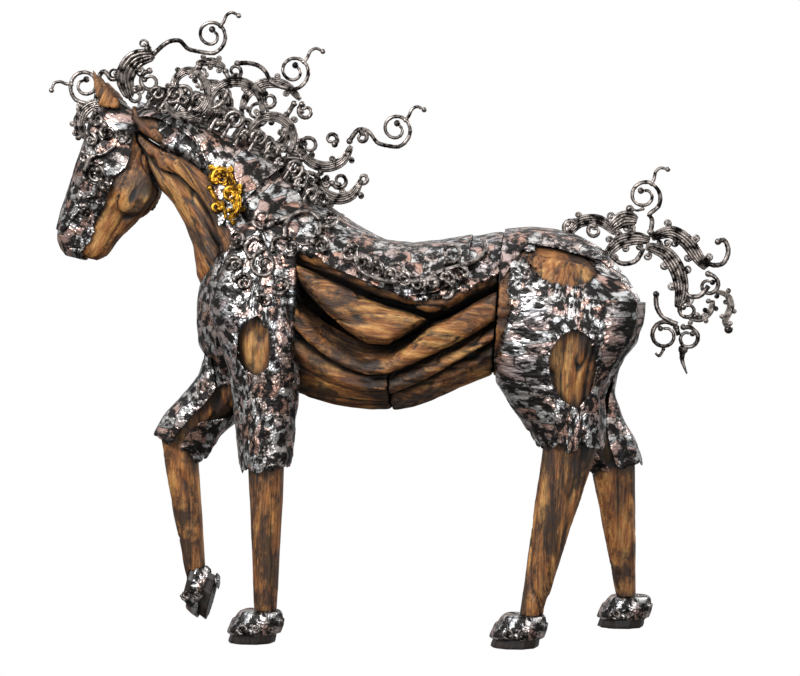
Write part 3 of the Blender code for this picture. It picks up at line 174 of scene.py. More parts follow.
def driftwood():
    """Sun-bleached driftwood, rubbed with a warm stain and scorched in blotches, with painted shade in its
    cracks and in the gaps between the pieces.
    """
    s = Shader("driftwood, stained and scorched")
    plate = s.add("Attribute", attribute_name="along").outputs["Vector"]
    grain = s.add("Mapping", {"Vector": plate, "Scale": (6.0, 60.0, 60.0)}).outputs["Vector"]
    fibre = s.add("TexNoise", {"Vector": grain, "Scale": 1.0, "Detail": 8.0, "Roughness": 0.7})
    fine = s.add("Mapping", {"Vector": plate, "Scale": (14.0, 330.0, 330.0)}).outputs["Vector"]
    thread = s.add("TexNoise", {"Vector": fine, "Scale": 1.0, "Detail": 4.0, "Roughness": 0.6})
    broad = s.add("Mapping", {"Vector": plate, "Scale": (4.0, 11.0, 11.0)}).outputs["Vector"]
    patch = s.add("TexNoise", {"Vector": broad, "Scale": 1.0, "Detail": 5.0, "Roughness": 0.6})
    painted_crack_shade = s.add("Attribute", attribute_name="painted_crack_shade").outputs["Fac"]
    tone = s.ramp(patch.outputs["Fac"], [
        (0.30, linear("160b05")), (0.42, linear("5a2f12")), (0.54, linear("a8642a")),
        (0.62, linear("e0ab62")), (0.76, linear("6f3a17")),
    ])
    streak = s.ramp(fibre.outputs["Fac"], [
        (0.30, linear("120905")), (0.45, linear("6e401b")),
        (0.58, linear("cf9450")), (0.74, linear("f2cd8e")),
    ])
    colour = s.mix(0.45, tone, streak)
    lines = s.ramp(thread.outputs["Fac"], [(0.34, grey(0.4)), (0.60, grey(1.0))])
    colour = s.mix(0.8, colour, lines, "MULTIPLY")
    blot = s.add("TexNoise", {"Vector": plate, "Scale": 6.5, "Detail": 8.0, "Roughness": 0.72})
    scorch = s.ramp(blot.outputs["Fac"], [(0.44, grey(1.0)), (0.56, grey(0.0))])
    colour = s.mix(scorch, colour, s.mix(0.86, colour, linear("0c0603")))
    # Painted shade: the blend toward near black where the wood is sunk into cracks, knots and grain.
    burnt = s.ramp(painted_crack_shade, [(0.30, grey(0.0)), (0.72, grey(1.0))])
    colour = s.mix(burnt, colour, linear("0d0704"))
    # Painted shade: ambient occlusion darkens the gaps between the pieces and the creases of the wood.
    shade = s.add("AmbientOcclusion", {"Distance": 0.09}, samples=6).outputs["AO"]
    painted_occlusion_shade = s.ramp(shade, [(0.35, grey(0.04)), (0.85, grey(1.0))])
    colour = s.mix(1.0, colour, painted_occlusion_shade, "MULTIPLY")
    s.set("Base Color", colour)
    s.set("Roughness", s.ramp(fibre.outputs["Fac"], [(0.3, grey(0.7)), (0.7, grey(0.42))]))
    first = s.bump(fibre.outputs["Fac"], 0.7, 0.006)
    s.set("Normal", s.bump(thread.outputs["Fac"], 0.5, 0.002, first))
    return s.material


def charred():
    """Hoof wood, burnt black and oiled."""
    s = Shader("charred hoof wood")
    place = s.add("TexCoord").outputs["Object"]
    stretch = s.add("Mapping", {"Vector": place, "Scale": (90.0, 90.0, 22.0)}).outputs["Vector"]
    grain = s.add("TexNoise", {"Vector": stretch, "Scale": 1.0, "Detail": 6.0})
    s.set("Base Color", s.ramp(grain.outputs["Fac"], [(0.35, linear("070504")), (0.7, linear("2e211a"))]))
    s.set("Roughness", 0.42)
    s.set("Normal", s.bump(grain.outputs["Fac"], 0.5, 0.002))
    return s.material


def hammered(name, light, tint, dark, amount):
    """Thin metal in nailed patches: planished by hammer, patinated black, the high spots rubbed."""
    s = Shader(name)
    plate = s.add("Attribute", attribute_name="along").outputs["Vector"]
    wander = s.add("TexNoise", {"Vector": plate, "Scale": 9.0, "Detail": 2.0}).outputs["Color"]
    shifted = s.add("VectorMath", {0: wander, 1: (0.05, 0.05, 0.05)}, operation="MULTIPLY").outputs[0]
    uneven = s.add("VectorMath", {0: plate, 1: shifted}, operation="ADD").outputs[0]
    cells = s.add("TexVoronoi", {"Vector": uneven, "Scale": 21.0, "Randomness": 0.5},
                  voronoi_dimensions="2D", distance="CHEBYCHEV")
    edges = s.add("TexVoronoi", {"Vector": uneven, "Scale": 21.0, "Randomness": 0.5},
                  voronoi_dimensions="2D", feature="DISTANCE_TO_EDGE")
    dimple = s.add("TexVoronoi", {"Vector": plate, "Scale": 95.0, "Randomness": 0.9},
                   feature="SMOOTH_F1", voronoi_dimensions="2D")
    cloud = s.add("TexNoise", {"Vector": plate, "Scale": 26.0, "Detail": 9.0, "Roughness": 0.66})
    broad = s.add("TexNoise", {"Vector": plate, "Scale": 7.0, "Detail": 4.0})
    each = s.add("SeparateColor", {"Color": cells.outputs["Color"]})
    colour = s.mix(s.ramp(each.outputs["Red"], [(0.35, grey(0.0)), (0.75, grey(1.0))]), light, tint)
    # Painted reflection: broad patches of the plate are tinted bluish white.
    painted_bluish_reflection = s.ramp(broad.outputs["Fac"], [(0.45, grey(0.0)), (0.7, grey(0.6))])
    colour = s.mix(painted_bluish_reflection, colour, linear("c7d3de"))
    stain = s.ramp(cloud.outputs["Fac"], [(0.45 + amount, grey(1.0)), (0.54 + amount, grey(0.0))])
    colour = s.mix(stain, colour, dark)
    seam = s.ramp(edges.outputs["Distance"], [(0.0, grey(1.0)), (0.05, grey(0.0))])
    colour = s.mix(seam, colour, linear("0d0b0a"))
    s.set("Base Color", colour)
    s.set("Metallic", s.ramp(stain, [(0.0, grey(1.0)), (1.0, grey(0.55))]))
    s.set("Roughness", s.ramp(cloud.outputs["Fac"], [(0.35, grey(0.5)), (0.65, grey(0.2))]))
    first = s.bump(dimple.outputs["Distance"], 0.55, 0.004)
    second = s.bump(edges.outputs["Distance"], 0.6, 0.006, first)
    s.set("Normal", s.bump(cloud.outputs["Fac"], 0.35, 0.003, second))
    return s.material


def antiqued(name, light, dark):
    """Cast metal, blackened in the recesses and rubbed bright on the ribs."""
    s = Shader(name)
    place = s.add("TexCoord").outputs["Object"]
    cloud = s.add("TexNoise", {"Vector": place, "Scale": 38.0, "Detail": 7.0, "Roughness": 0.65})
    sharp = s.add("NewGeometry").outputs["Pointiness"]
    rubbed = s.ramp(sharp, [(0.44, grey(0.0)), (0.53, grey(1.0))])
    worn = s.ramp(cloud.outputs["Fac"], [(0.42, grey(0.0)), (0.62, grey(1.0))])
    both = s.mix(1.0, rubbed, worn, "MULTIPLY")
    s.set("Base Color", s.mix(both, dark, light))
    s.set("Metallic", 0.92)
    s.set("Roughness", s.ramp(cloud.outputs["Fac"], [(0.35, grey(0.5)), (0.65, grey(0.26))]))
    s.set("Normal", s.bump(cloud.outputs["Fac"], 0.5, 0.003))
    return s.material


DRIFTWOOD = driftwood()
CHARRED_AND_PAINTED_SHADE = charred()
STAINED = 0.03
HAMMERED = hammered(
    "sheet aluminium, hammered and patinated",
    linear("d9d6d3"), linear("c79e8d"), linear("120e0c"), STAINED,
)
COVER = hammered(
    "hoof sheet, hammered and patinated",
    linear("cfcac5"), linear("b78f80"), linear("15100e"), STAINED,
)
CAST = antiqued("cast aluminium, antiqued", linear("a89e98"), linear("0f0c0b"))
GILT = antiqued("cast brass, gilded", linear("f0b53a"), linear("3a2208"))


def finished(name, mesh, material, body="root"):
    """The one place where a piece is named, given its material and set to ride."""
    obj = bpy.data.objects.new(name, mesh)
    bpy.context.scene.collection.objects.link(obj)
    mesh.materials.clear()
    mesh.materials.append(material)
    for polygon in mesh.polygons:
        polygon.material_index = 0
        polygon.use_smooth = True
    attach(obj, body)
    return obj


def copy_of(node):
    """The CAD node's mesh, copied and welded."""
    bm = bmesh.new()
    bm.from_mesh(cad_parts[node].data)
    bmesh.ops.remove_doubles(bm, verts=bm.verts, dist=2e-5)
    mesh = bpy.data.meshes.new(node)
    bm.to_mesh(mesh)
    bm.free()
    return mesh


def modified(mesh, *steps):
    """The mesh after modifiers, each a kind and its settings."""
    obj = bpy.data.objects.new("work", mesh)
    bpy.context.scene.collection.objects.link(obj)
    for kind, settings in steps:
        modifier = obj.modifiers.new(kind, kind)
        for key, value in settings.items():
            setattr(modifier, key, value)
    bpy.context.view_layer.update()
    graph = bpy.context.evaluated_depsgraph_get()
    made = bpy.data.meshes.new_from_object(obj.evaluated_get(graph))
    bpy.data.objects.remove(obj)
    return made


def coordinates(mesh):
    co = np.empty(len(mesh.vertices) * 3)
    mesh.vertices.foreach_get("co", co)
    return co.reshape(-1, 3)


def normals(mesh):
    no = np.empty(len(mesh.vertices) * 3)
    mesh.vertices.foreach_get("normal", no)
    return no.reshape(-1, 3)


def wound(co, direction, centre, reach):
    """Distance along the piece and the way round it, both in metres, for every place."""
    along = Vector(direction).normalized()
    side = Vector((0, 1, 0))
    up = along.cross(side).normalized()
    rel = co - np.array(centre)
    u = rel @ np.array(along)
    angle = np.arctan2(rel @ np.array(side), rel @ np.array(up))
    return u, angle * reach, np.hypot(rel @ np.array(side), rel @ np.array(up))


def mark(mesh, name, values):
    """Keeps one number or three for every vertex."""
    kind = "FLOAT" if values.ndim == 1 else "FLOAT_VECTOR"
    layer = mesh.attributes.new(name, kind, "POINT")
    layer.data.foreach_set("value" if kind == "FLOAT" else "vector", values.astype(np.float32).ravel())


def carve_wood(node, direction, depth):
    """A driftwood piece: rolled edges, long cracks between the strips, knots and grain."""
    mesh = modified(
        copy_of(node),
        ("REMESH", {"mode": "VOXEL", "voxel_size": WOOD_GRID}),
        ("SMOOTH", {"factor": 0.6, "iterations": 3}),
    )
    co, no = coordinates(mesh), normals(mesh)
    along = np.array(Vector(direction).normalized())
    stretch = np.eye(3) - 0.91 * np.outer(along, along)
    places = co @ stretch
    out = np.empty(len(co))
    painted_crack_shade = np.empty(len(co))
    seed = Vector((len(node), node.count("e") * 3.1, ord(node[0])))
    for i, place in enumerate(places):
        p = Vector(place)
        strips = abs(noise.noise(p * 17.0 + seed))
        knots = noise.noise(p * 7.0 - seed)
        grain = noise.noise(p * 60.0 + seed)
        crack = max(0.0, 1.0 - strips / 0.09)
        out[i] = -crack + 0.5 * knots + 0.3 * grain - 0.2
        # Painted shade: how deep each place sits in a crack, a knot or the grain, which the driftwood
        # material darkens.
        painted_crack_shade[i] = 0.62 * crack + 0.5 * max(0.0, -grain) + 0.8 * max(0.0, -knots - 0.1)
    co = co + no * (out * depth)[:, None]
    co[:, 2] = np.maximum(co[:, 2], 0.0005)
    mesh.vertices.foreach_set("co", co.ravel())
    centre = co.mean(0)
    u, v, r = wound(co, direction, centre, 0.2)
    mark(mesh, "along", np.column_stack([u, v, r]))
    mark(mesh, "painted_crack_shade", painted_crack_shade)
    mesh.update()
    obj = finished(node + "_carved", mesh, DRIFTWOOD)
    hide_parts(node)


def beat_sheet(node, direction, reach, material=HAMMERED):
    """A sheet piece: softly uneven as nailed patches are, with the plate's own coordinates."""
    mesh = modified(
        copy_of(node),
        ("SUBSURF", {"subdivision_type": "SIMPLE", "levels": SHEET_CUTS, "render_levels": SHEET_CUTS}),
        ("SMOOTH", {"factor": 0.5, "iterations": 4}),
    )
    co, no = coordinates(mesh), normals(mesh)
    lift = np.array([noise.noise(Vector(p) * 16.0) + 0.5 * noise.noise(Vector(p) * 41.0) for p in co])
    co = co + no * (lift * SHEET_DENT)[:, None]
    if node.startswith(("hip", "shoulder")):
        hem = np.clip(1 - (co[:, 2] - co[:, 2].min()) / HEM_HEIGHT, 0, 1)
        torn = np.array([noise.noise(Vector(p) * 26.0) + 0.4 * noise.noise(Vector(p) * 70.0) for p in co])
        co[:, 2] += hem * torn * HEM_TEAR
    mesh.vertices.foreach_set("co", co.ravel())
    u, v, r = wound(co, direction, co.mean(0), reach)
    mark(mesh, "along", np.column_stack([u, v, r * 0]))
    mesh.update()
    mesh = modified(mesh, ("DECIMATE", {"ratio": SHEET_KEPT}))
    obj = finished(node + "_beaten", mesh, material)
    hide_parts(node)


def clad(node, direction, reach, keep):
    """Nailed metal patches straight on a wooden piece, wherever keep(place) is above nought."""
    mesh = modified(
        copy_of(node),
        ("SUBSURF", {"subdivision_type": "SIMPLE", "levels": SHEET_CUTS, "render_levels": SHEET_CUTS}),
        ("SMOOTH", {"factor": 0.5, "iterations": 3}),
    )
    co, no = coordinates(mesh), normals(mesh)
    lift = np.array([CLADDING_GAP + CLADDING_DENT * noise.noise(Vector(p) * 22.0) for p in co])
    mesh.vertices.foreach_set("co", (co + no * lift[:, None]).ravel())
    u, v, r = wound(co, direction, co.mean(0), reach)
    mark(mesh, "along", np.column_stack([u, v, r * 0]))
    bm = bmesh.new()
    bm.from_mesh(mesh)
    gone = []
    for face in bm.faces:
        centre = face.calc_center_median()
        ragged = 0.8 * noise.noise(centre * 24.0) + 0.5 * noise.noise(centre * 60.0)
        x, z = (centre.x - SHIFT_X) * 100 / WITHERS_HEIGHT, centre.z * 100 / WITHERS_HEIGHT
        if keep(x, z, centre.y) + ragged < 0:
            gone.append(face)
    bmesh.ops.delete(bm, geom=gone, context="FACES")
    bm.to_mesh(mesh)
    bm.free()
    mesh = modified(
        mesh,
        ("SOLIDIFY", {"thickness": CLADDING_SHEET, "offset": 1.0}),
        ("DECIMATE", {"ratio": CLADDING_KEPT}),
    )
    obj = finished(node + "_cladding", mesh, HAMMERED)


def outside(x, z, centre, half_width, half_height, turn=0.0):
    """How far a place is outside an oval, in hundredths; negative inside it."""
    c, s = math.cos(turn), math.sin(turn)
    dx, dz = x - centre[0], z - centre[1]
    dx, dz = (dx * c + dz * s) / half_width, (-dx * s + dz * c) / half_height
    return (math.hypot(dx, dz) - 1) * min(half_width, half_height)


def tube(bm, points, radii, sides=TUBE_SIDES, ribs=0.0, flat=1.0):
    """A round rod along points, closed at both ends; ribs swell it at every other ring."""
    rings = []
    for i, point in enumerate(points):
        along = points[min(i + 1, len(points) - 1)] - points[max(i - 1, 0)]
        along = along.normalized() if along.length > 1e-9 else Vector((1, 0, 0))
        out = Vector((0, 1, 0)) - along * along.y
        out = out.normalized() if out.length > 1e-6 else Vector((0, 0, 1))
        across = along.cross(out)
        r = radii[i] * (1 + (ribs if i % 2 else 0.0))
        rings.append([
            bm.verts.new(point + r * (out * math.cos(a) * flat + across * math.sin(a)))
            for a in (2 * math.pi * k / sides for k in range(sides))
        ])
    for first, second in zip(rings, rings[1:]):
        for k in range(sides):
            j = (k + 1) % sides
            bm.faces.new((first[k], first[j], second[j], second[k]))
    bm.faces.new(rings[0][::-1])
    bm.faces.new(rings[-1])


def arc(centre, radius, start, sweep, end_radius=None, steps_per_turn=9):
    """Places along a curl, in hundredths: its radius runs from the first to the last value."""
    end_radius = radius if end_radius is None else end_radius
    count = max(2, round(abs(sweep) / 360 * steps_per_turn))
    points = []
    for i in range(count + 1):
        t = i / count
        angle = math.radians(start + sweep * t)
        r = radius + (end_radius - radius) * t
        points.append((centre[0] + r * math.cos(angle), centre[1] + r * math.sin(angle)))
    return points


def eased(points, steps=3):
    """More places on a smooth curve through a few."""
    rows = [np.array(p) for p in points]
    return [tuple(catmull(rows, i / steps)) for i in range((len(rows) - 1) * steps + 1)]


class Casting:
    """One casting of scrollwork: rods, strands, collars and knobs in one mesh."""

    def __init__(self, name, y=0.0, lean=0.0, pivot=120.0, lay=None, side=LEFT):
        self.name, self.y, self.lean, self.pivot, self.side = name, y, lean, pivot, side
        self.lay = lay
        self.centre_y = 0.0
        self.bm = bmesh.new()

    def put(self, place, lift=0.0):
        """A place of the drawing in space."""
        x, z = place
        if self.lay:
            depths = []
            near = 2 * ROD
            for dx, dz in ((0, 0), (near, 0), (-near, 0), (0, near), (0, -near)):
                origin = spot(x, z, self.side * 0.6) + Vector((dx, 0, dz))
                hits = [tree.ray_cast(origin, Vector((0, -self.side, 0))) for tree in self.lay]
                depths += [self.side * (hit[0].y - self.centre_y) for hit in hits if hit[0] is not None]
            reach = max(depths) if depths else 0.05
            return spot(x, z, self.centre_y + self.side * (reach + lift))
        return spot(x, z, self.side * (self.y + self.lean * share(z - self.pivot)))

    def rod(self, places, start=ROD, end=ROD, knob=0.0):
        fine = eased(places, 3)
        count = len(fine) - 1
        radii = [start + (end - start) * i / count for i in range(count + 1)]
        points = [self.put(p, r) for p, r in zip(fine, radii)]
        tube(self.bm, points, radii, ribs=0.12)
        self.knob_at(points[0], radii[0] * 1.45)
        if knob:
            (x1, z1), (x2, z2) = places[-2:]
            reach = 100 * knob / WITHERS_HEIGHT / max(math.hypot(x2 - x1, z2 - z1), 1e-6)
            self.knob_at(self.put((x2 + (x2 - x1) * reach, z2 + (z2 - z1) * reach), knob), knob)

    def knob_at(self, centre, radius):
        made = bmesh.ops.create_icosphere(self.bm, subdivisions=2, radius=radius)
        bmesh.ops.translate(self.bm, verts=made["verts"], vec=centre)

    def ball(self, place, radius=BALL):
        self.knob_at(self.put(place, radius), radius)

    def curl(self, centre, radius, start, sweep, end_radius, thick=ROD):
        self.rod(arc(centre, radius, start, sweep, end_radius), thick, ROD_TIP, knob=BALL * 0.85)

    def band(self, places, width, taper=0.35):
        """Strands side by side that swell and meet again, like a lock of hair."""
        fine = eased(places, 4)
        count = len(fine) - 1
        for k in range(STRANDS):
            offset = (k - (STRANDS - 1) / 2) / STRANDS
            points, radii = [], []
            for i, (x, z) in enumerate(fine):
                t = i / count
                wide = width * (taper + (1 - taper) * math.sin(math.pi * t) ** 0.7)
                ahead, back = fine[min(i + 1, count)], fine[max(i - 1, 0)]
                dx, dz = ahead[0] - back[0], ahead[1] - back[1]
                size = max(math.hypot(dx, dz), 1e-9)
                point = self.put((x - dz / size * wide * offset, z + dx / size * wide * offset))
                bulge = BAND_DEPTH * 0.35 * math.cos(math.pi * offset) * (1 if k % 2 else 0.6)
                points.append(point + Vector((0, self.side * bulge, 0)))
                radii.append(share(wide) / STRANDS * 0.62 * (1.0 if i not in (0, count) else 0.55))
            tube(self.bm, points, radii, ribs=0.06, flat=1.25)
        self.leaves(fine, width)

    def leaves(self, fine, width):
        """Small curls with a knob, turned out on both edges of a band."""
        step = max(3, len(fine) // 6)
        for n, i in enumerate(range(step // 2, len(fine) - 1, step)):
            (x, z), (ax, az) = fine[i], fine[i + 1]
            heading = math.degrees(math.atan2(az - z, ax - x))
            hand = 1 if n % 2 else -1
            out = math.radians(heading + 90 * hand)
            size = width * 0.30
            centre = (x + math.cos(out) * width * 0.62, z + math.sin(out) * width * 0.62)
            places = arc(centre, size, heading - 90 * hand, 400 * hand, size * 0.3, 10)
            points = [self.put(p, ROD_TIP) for p in places]
            count = len(points) - 1
            tube(self.bm, points, [ROD_TIP * (1.1 - 0.4 * k / count) for k in range(count + 1)], 6)
            self.knob_at(points[-1], ROD_TIP * 1.5)

    def finial(self, stem, centre, radius, enter=236.0, hook=48.0, flip=1):
        """A stem that winds into an open ring with a knob in it, and a hooked tendril outside."""
        growth = [np.array([value]) for value in (1.42, 1.05, 1.0, 0.98, 0.68, 0.46, 0.36)]
        ring = []
        for i in range(15):
            t = i / 14
            angle = math.radians(enter + 540 * t)
            r = radius * float(catmull(growth, t * (len(growth) - 1))[0])
            ring.append((centre[0] + flip * r * math.cos(angle), centre[1] + r * math.sin(angle)))
        self.rod(eased([*stem, ring[0]], 2)[:-1] + ring, ROD, ROD_TIP, knob=BALL)
        tendril = [(0.97, 0.0), (1.4, 0.02), (1.87, 0.16), (2.3, 0.02), (2.44, -0.34)]
        places = []
        for out, along in tendril:
            c, s = math.cos(math.radians(hook)), math.sin(math.radians(hook))
            x, z = radius * (out * c - along * s), radius * (out * s + along * c)
            places.append((centre[0] + flip * x, centre[1] + z))
        self.rod(eased(places, 2), ROD_TIP * 1.15, ROD_TIP, knob=BALL * 0.8)

    def done(self, material=CAST):
        mesh = bpy.data.meshes.new(self.name)
        bmesh.ops.recalc_face_normals(self.bm, faces=self.bm.faces)
        self.bm.to_mesh(mesh)
        self.bm.free()
        obj = finished(self.name + "_cast", mesh, material)
        if self.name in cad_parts:
            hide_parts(self.name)


def mane():
    """The scrolls that blow back from the forelock and the crest."""
    forelock = Casting("forelock_scroll", 0.0, 0.0)
    forelock.finial([(-67.6, 117.6), (-68.4, 120.4)], (-70.6, 125.4), 3.0, 262, 4, flip=-1)
    forelock.band(arc((-67.2, 116.8), 4.4, 60, 170), 2.6)
    forelock.band(eased([(-70.6, 119.6), (-72.2, 117.6), (-71.6, 114.8), (-70.2, 113.4)], 2), 1.9)
    forelock.rod(eased([(-68.0, 121.0), (-67.0, 127.4), (-65.6, 128.4), (-64.4, 126.9), (-63.4, 126.8)], 2))
    forelock.ball((-63.4, 126.8), BALL * 0.8)
    forelock.done()

    poll = Casting("mane_poll_scroll", 0.02, 0.16)
    poll.band(arc((-54.4, 125.8), 6.2, 214, -132), 4.4)
    poll.finial(
        [(-54.2, 131.6), (-52.4, 133.3), (-50.2, 134.8), (-47.6, 135.0), (-45.8, 133.2)],
        (-40.2, 136.0), 3.0,
    )
    poll.curl((-54.8, 126.0), 2.4, 90, 400, 1.0)
    poll.curl((-58.2, 122.8), 1.9, 60, 360, 0.8)
    poll.ball((-55.0, 133.2), BALL * 1.2)
    poll.band(arc((-51.6, 121.0), 2.8, 190, -130), 2.2)
    poll.done()

    ring = Casting("mane_ring_scroll", -0.035, -0.10)
    ring.band(arc((-46.2, 125.4), 4.9, -60, -330, 2.6, 8), 1.9)
    ring.band(eased([(-45.2, 130.4), (-41.4, 130.8), (-38.4, 129.4)], 2), 2.0)
    ring.curl((-43.9, 128.6), 1.6, 100, 330, 0.7)
    ring.curl((-36.2, 128.6), 2.1, 180, 400, 0.7)
    ring.finial([(-35.6, 130.4), (-33.2, 130.5), (-30.6, 129.8), (-28.9, 128.2), (-27.6, 126.0)],
                (-22.3, 128.4), 3.1)
    ring.band(arc((-48.6, 120.6), 2.6, 10, 190), 1.8)
    ring.done()

    front = Casting("mane_front_comb", -0.085, -0.06)
    front.band(arc((-43.2, 121.6), 4.7, 215, 240), 3.4)
    front.curl((-43.4, 121.8), 2.2, 150, 400, 0.8)
    front.curl((-48.2, 119.0), 1.7, 60, 340, 0.7)
    front.done()

    great = Casting("mane_great_ring", -0.06, -0.08)
    great.band(arc((-28.0, 118.8), 6.9, 175, -150, 7.6), 2.4)
    great.curl((-31.2, 119.2), 3.6, 180, 430, 1.2)
    great.band(arc((-29.4, 116.0), 5.6, 190, 190), 2.6)
    great.curl((-19.8, 119.4), 1.9, 120, 380, 0.7)
    great.rod(eased([(-22.6, 121.2), (-24.6, 117.6), (-25.2, 113.4)], 2))
    great.curl((-28.4, 122.0), 1.8, 220, 330, 0.8)
    great.done()

    long_lock = Casting("mane_long_lock", 0.015, 0.10)
    long_lock.band(arc((-14.6, 112.8), 6.6, 186, 160, 5.8), 2.4)
    long_lock.curl((-18.6, 111.4), 2.3, 230, -400, 0.8)
    long_lock.finial([(-9.4, 112.4), (-7.6, 114.8), (-5.6, 114.8), (-4.2, 113.6), (-3.0, 112.0)],
                     (1.4, 114.9), 3.0)
    long_lock.curl((-13.5, 112.9), 1.4, -60, 330, 0.7)
    long_lock.curl((-6.6, 113.2), 1.3, 90, -330, 0.6)
    long_lock.curl((-22.4, 108.6), 1.8, 20, 340, 0.8)
    long_lock.rod(eased([(-20.4, 108.4), (-24.0, 108.6), (-27.4, 107.4)], 2))
    long_lock.done()

    low = Casting("mane_low_lock", -0.05, 0.12, 104.0)
    low.band(arc((-12.2, 104.6), 5.2, 176, 170), 2.6)
    low.curl((-12.0, 103.6), 1.9, 200, 380, 0.7)
    low.curl((-6.6, 104.0), 1.1, 240, 300, 0.6)
    low.curl((-15.0, 103.0), 1.2, 90, 330, 0.5)
    low.rod(eased([(-17.2, 104.6), (-19.6, 105.4), (-22.4, 103.4)], 2))
    low.done()

    far = Casting("mane_far_rings", 0.085, 0.05)
    far.band(arc((-46.0, 123.0), 5.2, 200, 230), 2.2)
    far.band(arc((-34.6, 119.4), 6.2, 190, -200), 2.2)
    far.band(arc((-26.6, 112.6), 5.2, 160, -200), 2.2)
    far.rod(eased([(-42.0, 122.0), (-40.4, 119.6), (-37.6, 121.0), (-36.4, 124.0)], 2))
    far.done()


def tail():
    """The tail: scrolls along the dock, a curl that stands up, and arcs that fall behind."""
    root = Casting("tail_root_scroll", 0.0, 0.0)
    root.band(arc((45.4, 88.4), 6.2, 158, -130), 2.6)
    root.curl((40.6, 92.6), 1.8, 60, 380, 0.7)
    root.curl((46.0, 92.0), 1.6, 90, 330, 0.8)
    root.band(eased([(49.6, 92.4), (52.6, 94.8), (55.6, 94.4)], 2), 3.4)
    root.band(eased([(48.6, 86.4), (51.4, 89.4), (55.4, 90.4), (58.4, 89.8)], 2), 3.0)
    root.rod(eased([(49.4, 86.6), (52.2, 84.7), (55.4, 85.4), (57.0, 88.2)], 2))
    root.done()

    curl = Casting("tail_upper_curl", 0.0, 0.0)
    curl.finial([(58.6, 91.8), (58.9, 94.4)], (57.4, 100.0), 3.0, 282, 62)
    curl.rod(eased([(56.8, 97.0), (55.4, 96.6), (54.0, 97.4)], 2), ROD_TIP, ROD_TIP * 0.6)
    curl.done()

    outer = Casting("tail_outer_arc", -0.02, 0.0)
    outer.band(eased([(58.8, 90.4), (63.0, 91.8), (66.8, 89.6), (69.2, 86.2), (71.2, 83.6)], 2), 3.2)
    outer.rod(eased([(70.6, 85.8), (72.4, 84.4), (74.9, 84.8), (76.0, 87.4), (75.2, 89.9), (73.7, 89.6)], 2))
    outer.ball((73.7, 89.6))
    outer.curl((71.6, 79.8), 2.6, 90, -380, 0.9)
    outer.band(eased([(73.0, 78.4), (75.8, 77.6), (76.6, 74.8), (75.4, 71.8), (76.2, 69.9)], 2), 1.6)
    outer.ball((76.2, 69.9), BALL * 1.3)
    outer.done()

    inner = Casting("tail_inner_arc", 0.045, 0.0)
    inner.band(eased([(57.4, 88.6), (61.6, 87.2), (64.4, 83.4), (65.4, 78.8), (64.6, 74.8)], 2), 3.4)
    inner.rod(eased([(65.4, 80.0), (67.0, 77.6), (69.6, 77.6), (71.4, 79.8)], 2))
    inner.curl((66.9, 74.4), 2.2, 100, 380, 0.9)
    inner.rod(eased([(59.8, 77.9), (59.9, 75.2), (61.4, 72.8), (64.6, 71.2)], 2))
    inner.band(eased([(67.0, 72.6), (69.6, 72.4), (71.8, 74.2), (72.4, 76.6)], 2), 1.6)
    inner.done()

    drop = Casting("tail_drop_rings", 0.0, 0.0)
    drop.curl((61.9, 68.5), 3.3, 60, 400, 1.6)
    drop.curl((67.0, 67.9), 2.7, 110, -400, 1.2)
    drop.rod(eased([(61.6, 65.4), (60.7, 63.9), (59.9, 64.6)], 2), ROD_TIP, ROD_TIP)
    drop.rod(eased([(66.0, 65.4), (65.8, 63.0), (66.9, 59.9)], 2), BALL, ROD_TIP * 0.5)
    drop.rod([(64.4, 70.4), (65.0, 68.6)])
    drop.done()


def laid_scrolls():
    """Scrolls nailed flat on the face, the shoulders and the back, the same on both sides."""
    for side, tag in ((LEFT, "left"), (RIGHT, "right")):
        face = Casting(f"face_scroll_{tag}", lay=GROUND, side=side)
        face.curl((-66.5, 104.9), 2.6, 200, -470, 0.9)
        face.rod(eased([(-68.9, 105.8), (-67.4, 108.6), (-64.4, 109.4), (-61.8, 111.4)], 2), ROD, ROD_TIP)
        face.rod(eased([(-66.0, 102.4), (-66.8, 100.2), (-68.6, 99.6)], 2), ROD_TIP, ROD_TIP)
        face.done()

        shoulder = Casting(f"shoulder_scroll_{tag}", lay=GROUND, side=side)
        shoulder.curl((-26.7, 84.6), 3.3, 100, 500, 0.8)
        shoulder.rod(eased([(-25.0, 87.6), (-24.6, 90.4), (-22.4, 91.0)], 2))
        shoulder.curl((-18.4, 92.4), 4.4, 200, -330, 3.4)
        shoulder.curl((-28.0, 94.8), 2.6, 330, -330, 1.0)
        shoulder.rod(eased([(-25.6, 93.6), (-23.4, 94.6), (-21.6, 95.4)], 2))
        shoulder.rod(eased([(-29.8, 86.0), (-31.4, 88.4), (-29.2, 90.6), (-27.4, 89.4)], 2))
        shoulder.done()

        back = Casting(f"back_scroll_{tag}", lay=GROUND, side=side)
        back.rod(eased([(-6.6, 88.4), (-6.2, 85.0), (-3.6, 82.2), (1.6, 80.9), (7.4, 80.9), (12.4, 81.5),
                        (15.0, 79.6), (14.6, 77.6), (12.9, 77.4)], 2))
        back.rod(eased([(9.0, 81.0), (12.6, 83.2), (18.6, 85.0), (22.0, 87.4), (21.6, 90.0)], 2))
        back.curl((2.4, 83.4), 2.0, 260, 300, 1.2)
        back.curl((14.4, 87.1), 2.4, 250, 330, 1.3)
        back.done()


def body_direction(node):
    if node.startswith("neck") or node == "crest_sheet":
        return NECK
    if node.startswith(("head", "ear", "face")):
        return HEAD
    if node.startswith(("leg", "hip", "shoulder", "hoof")):
        return UPRIGHT
    if node == "chest_block":
        return CHEST
    return TRUNK


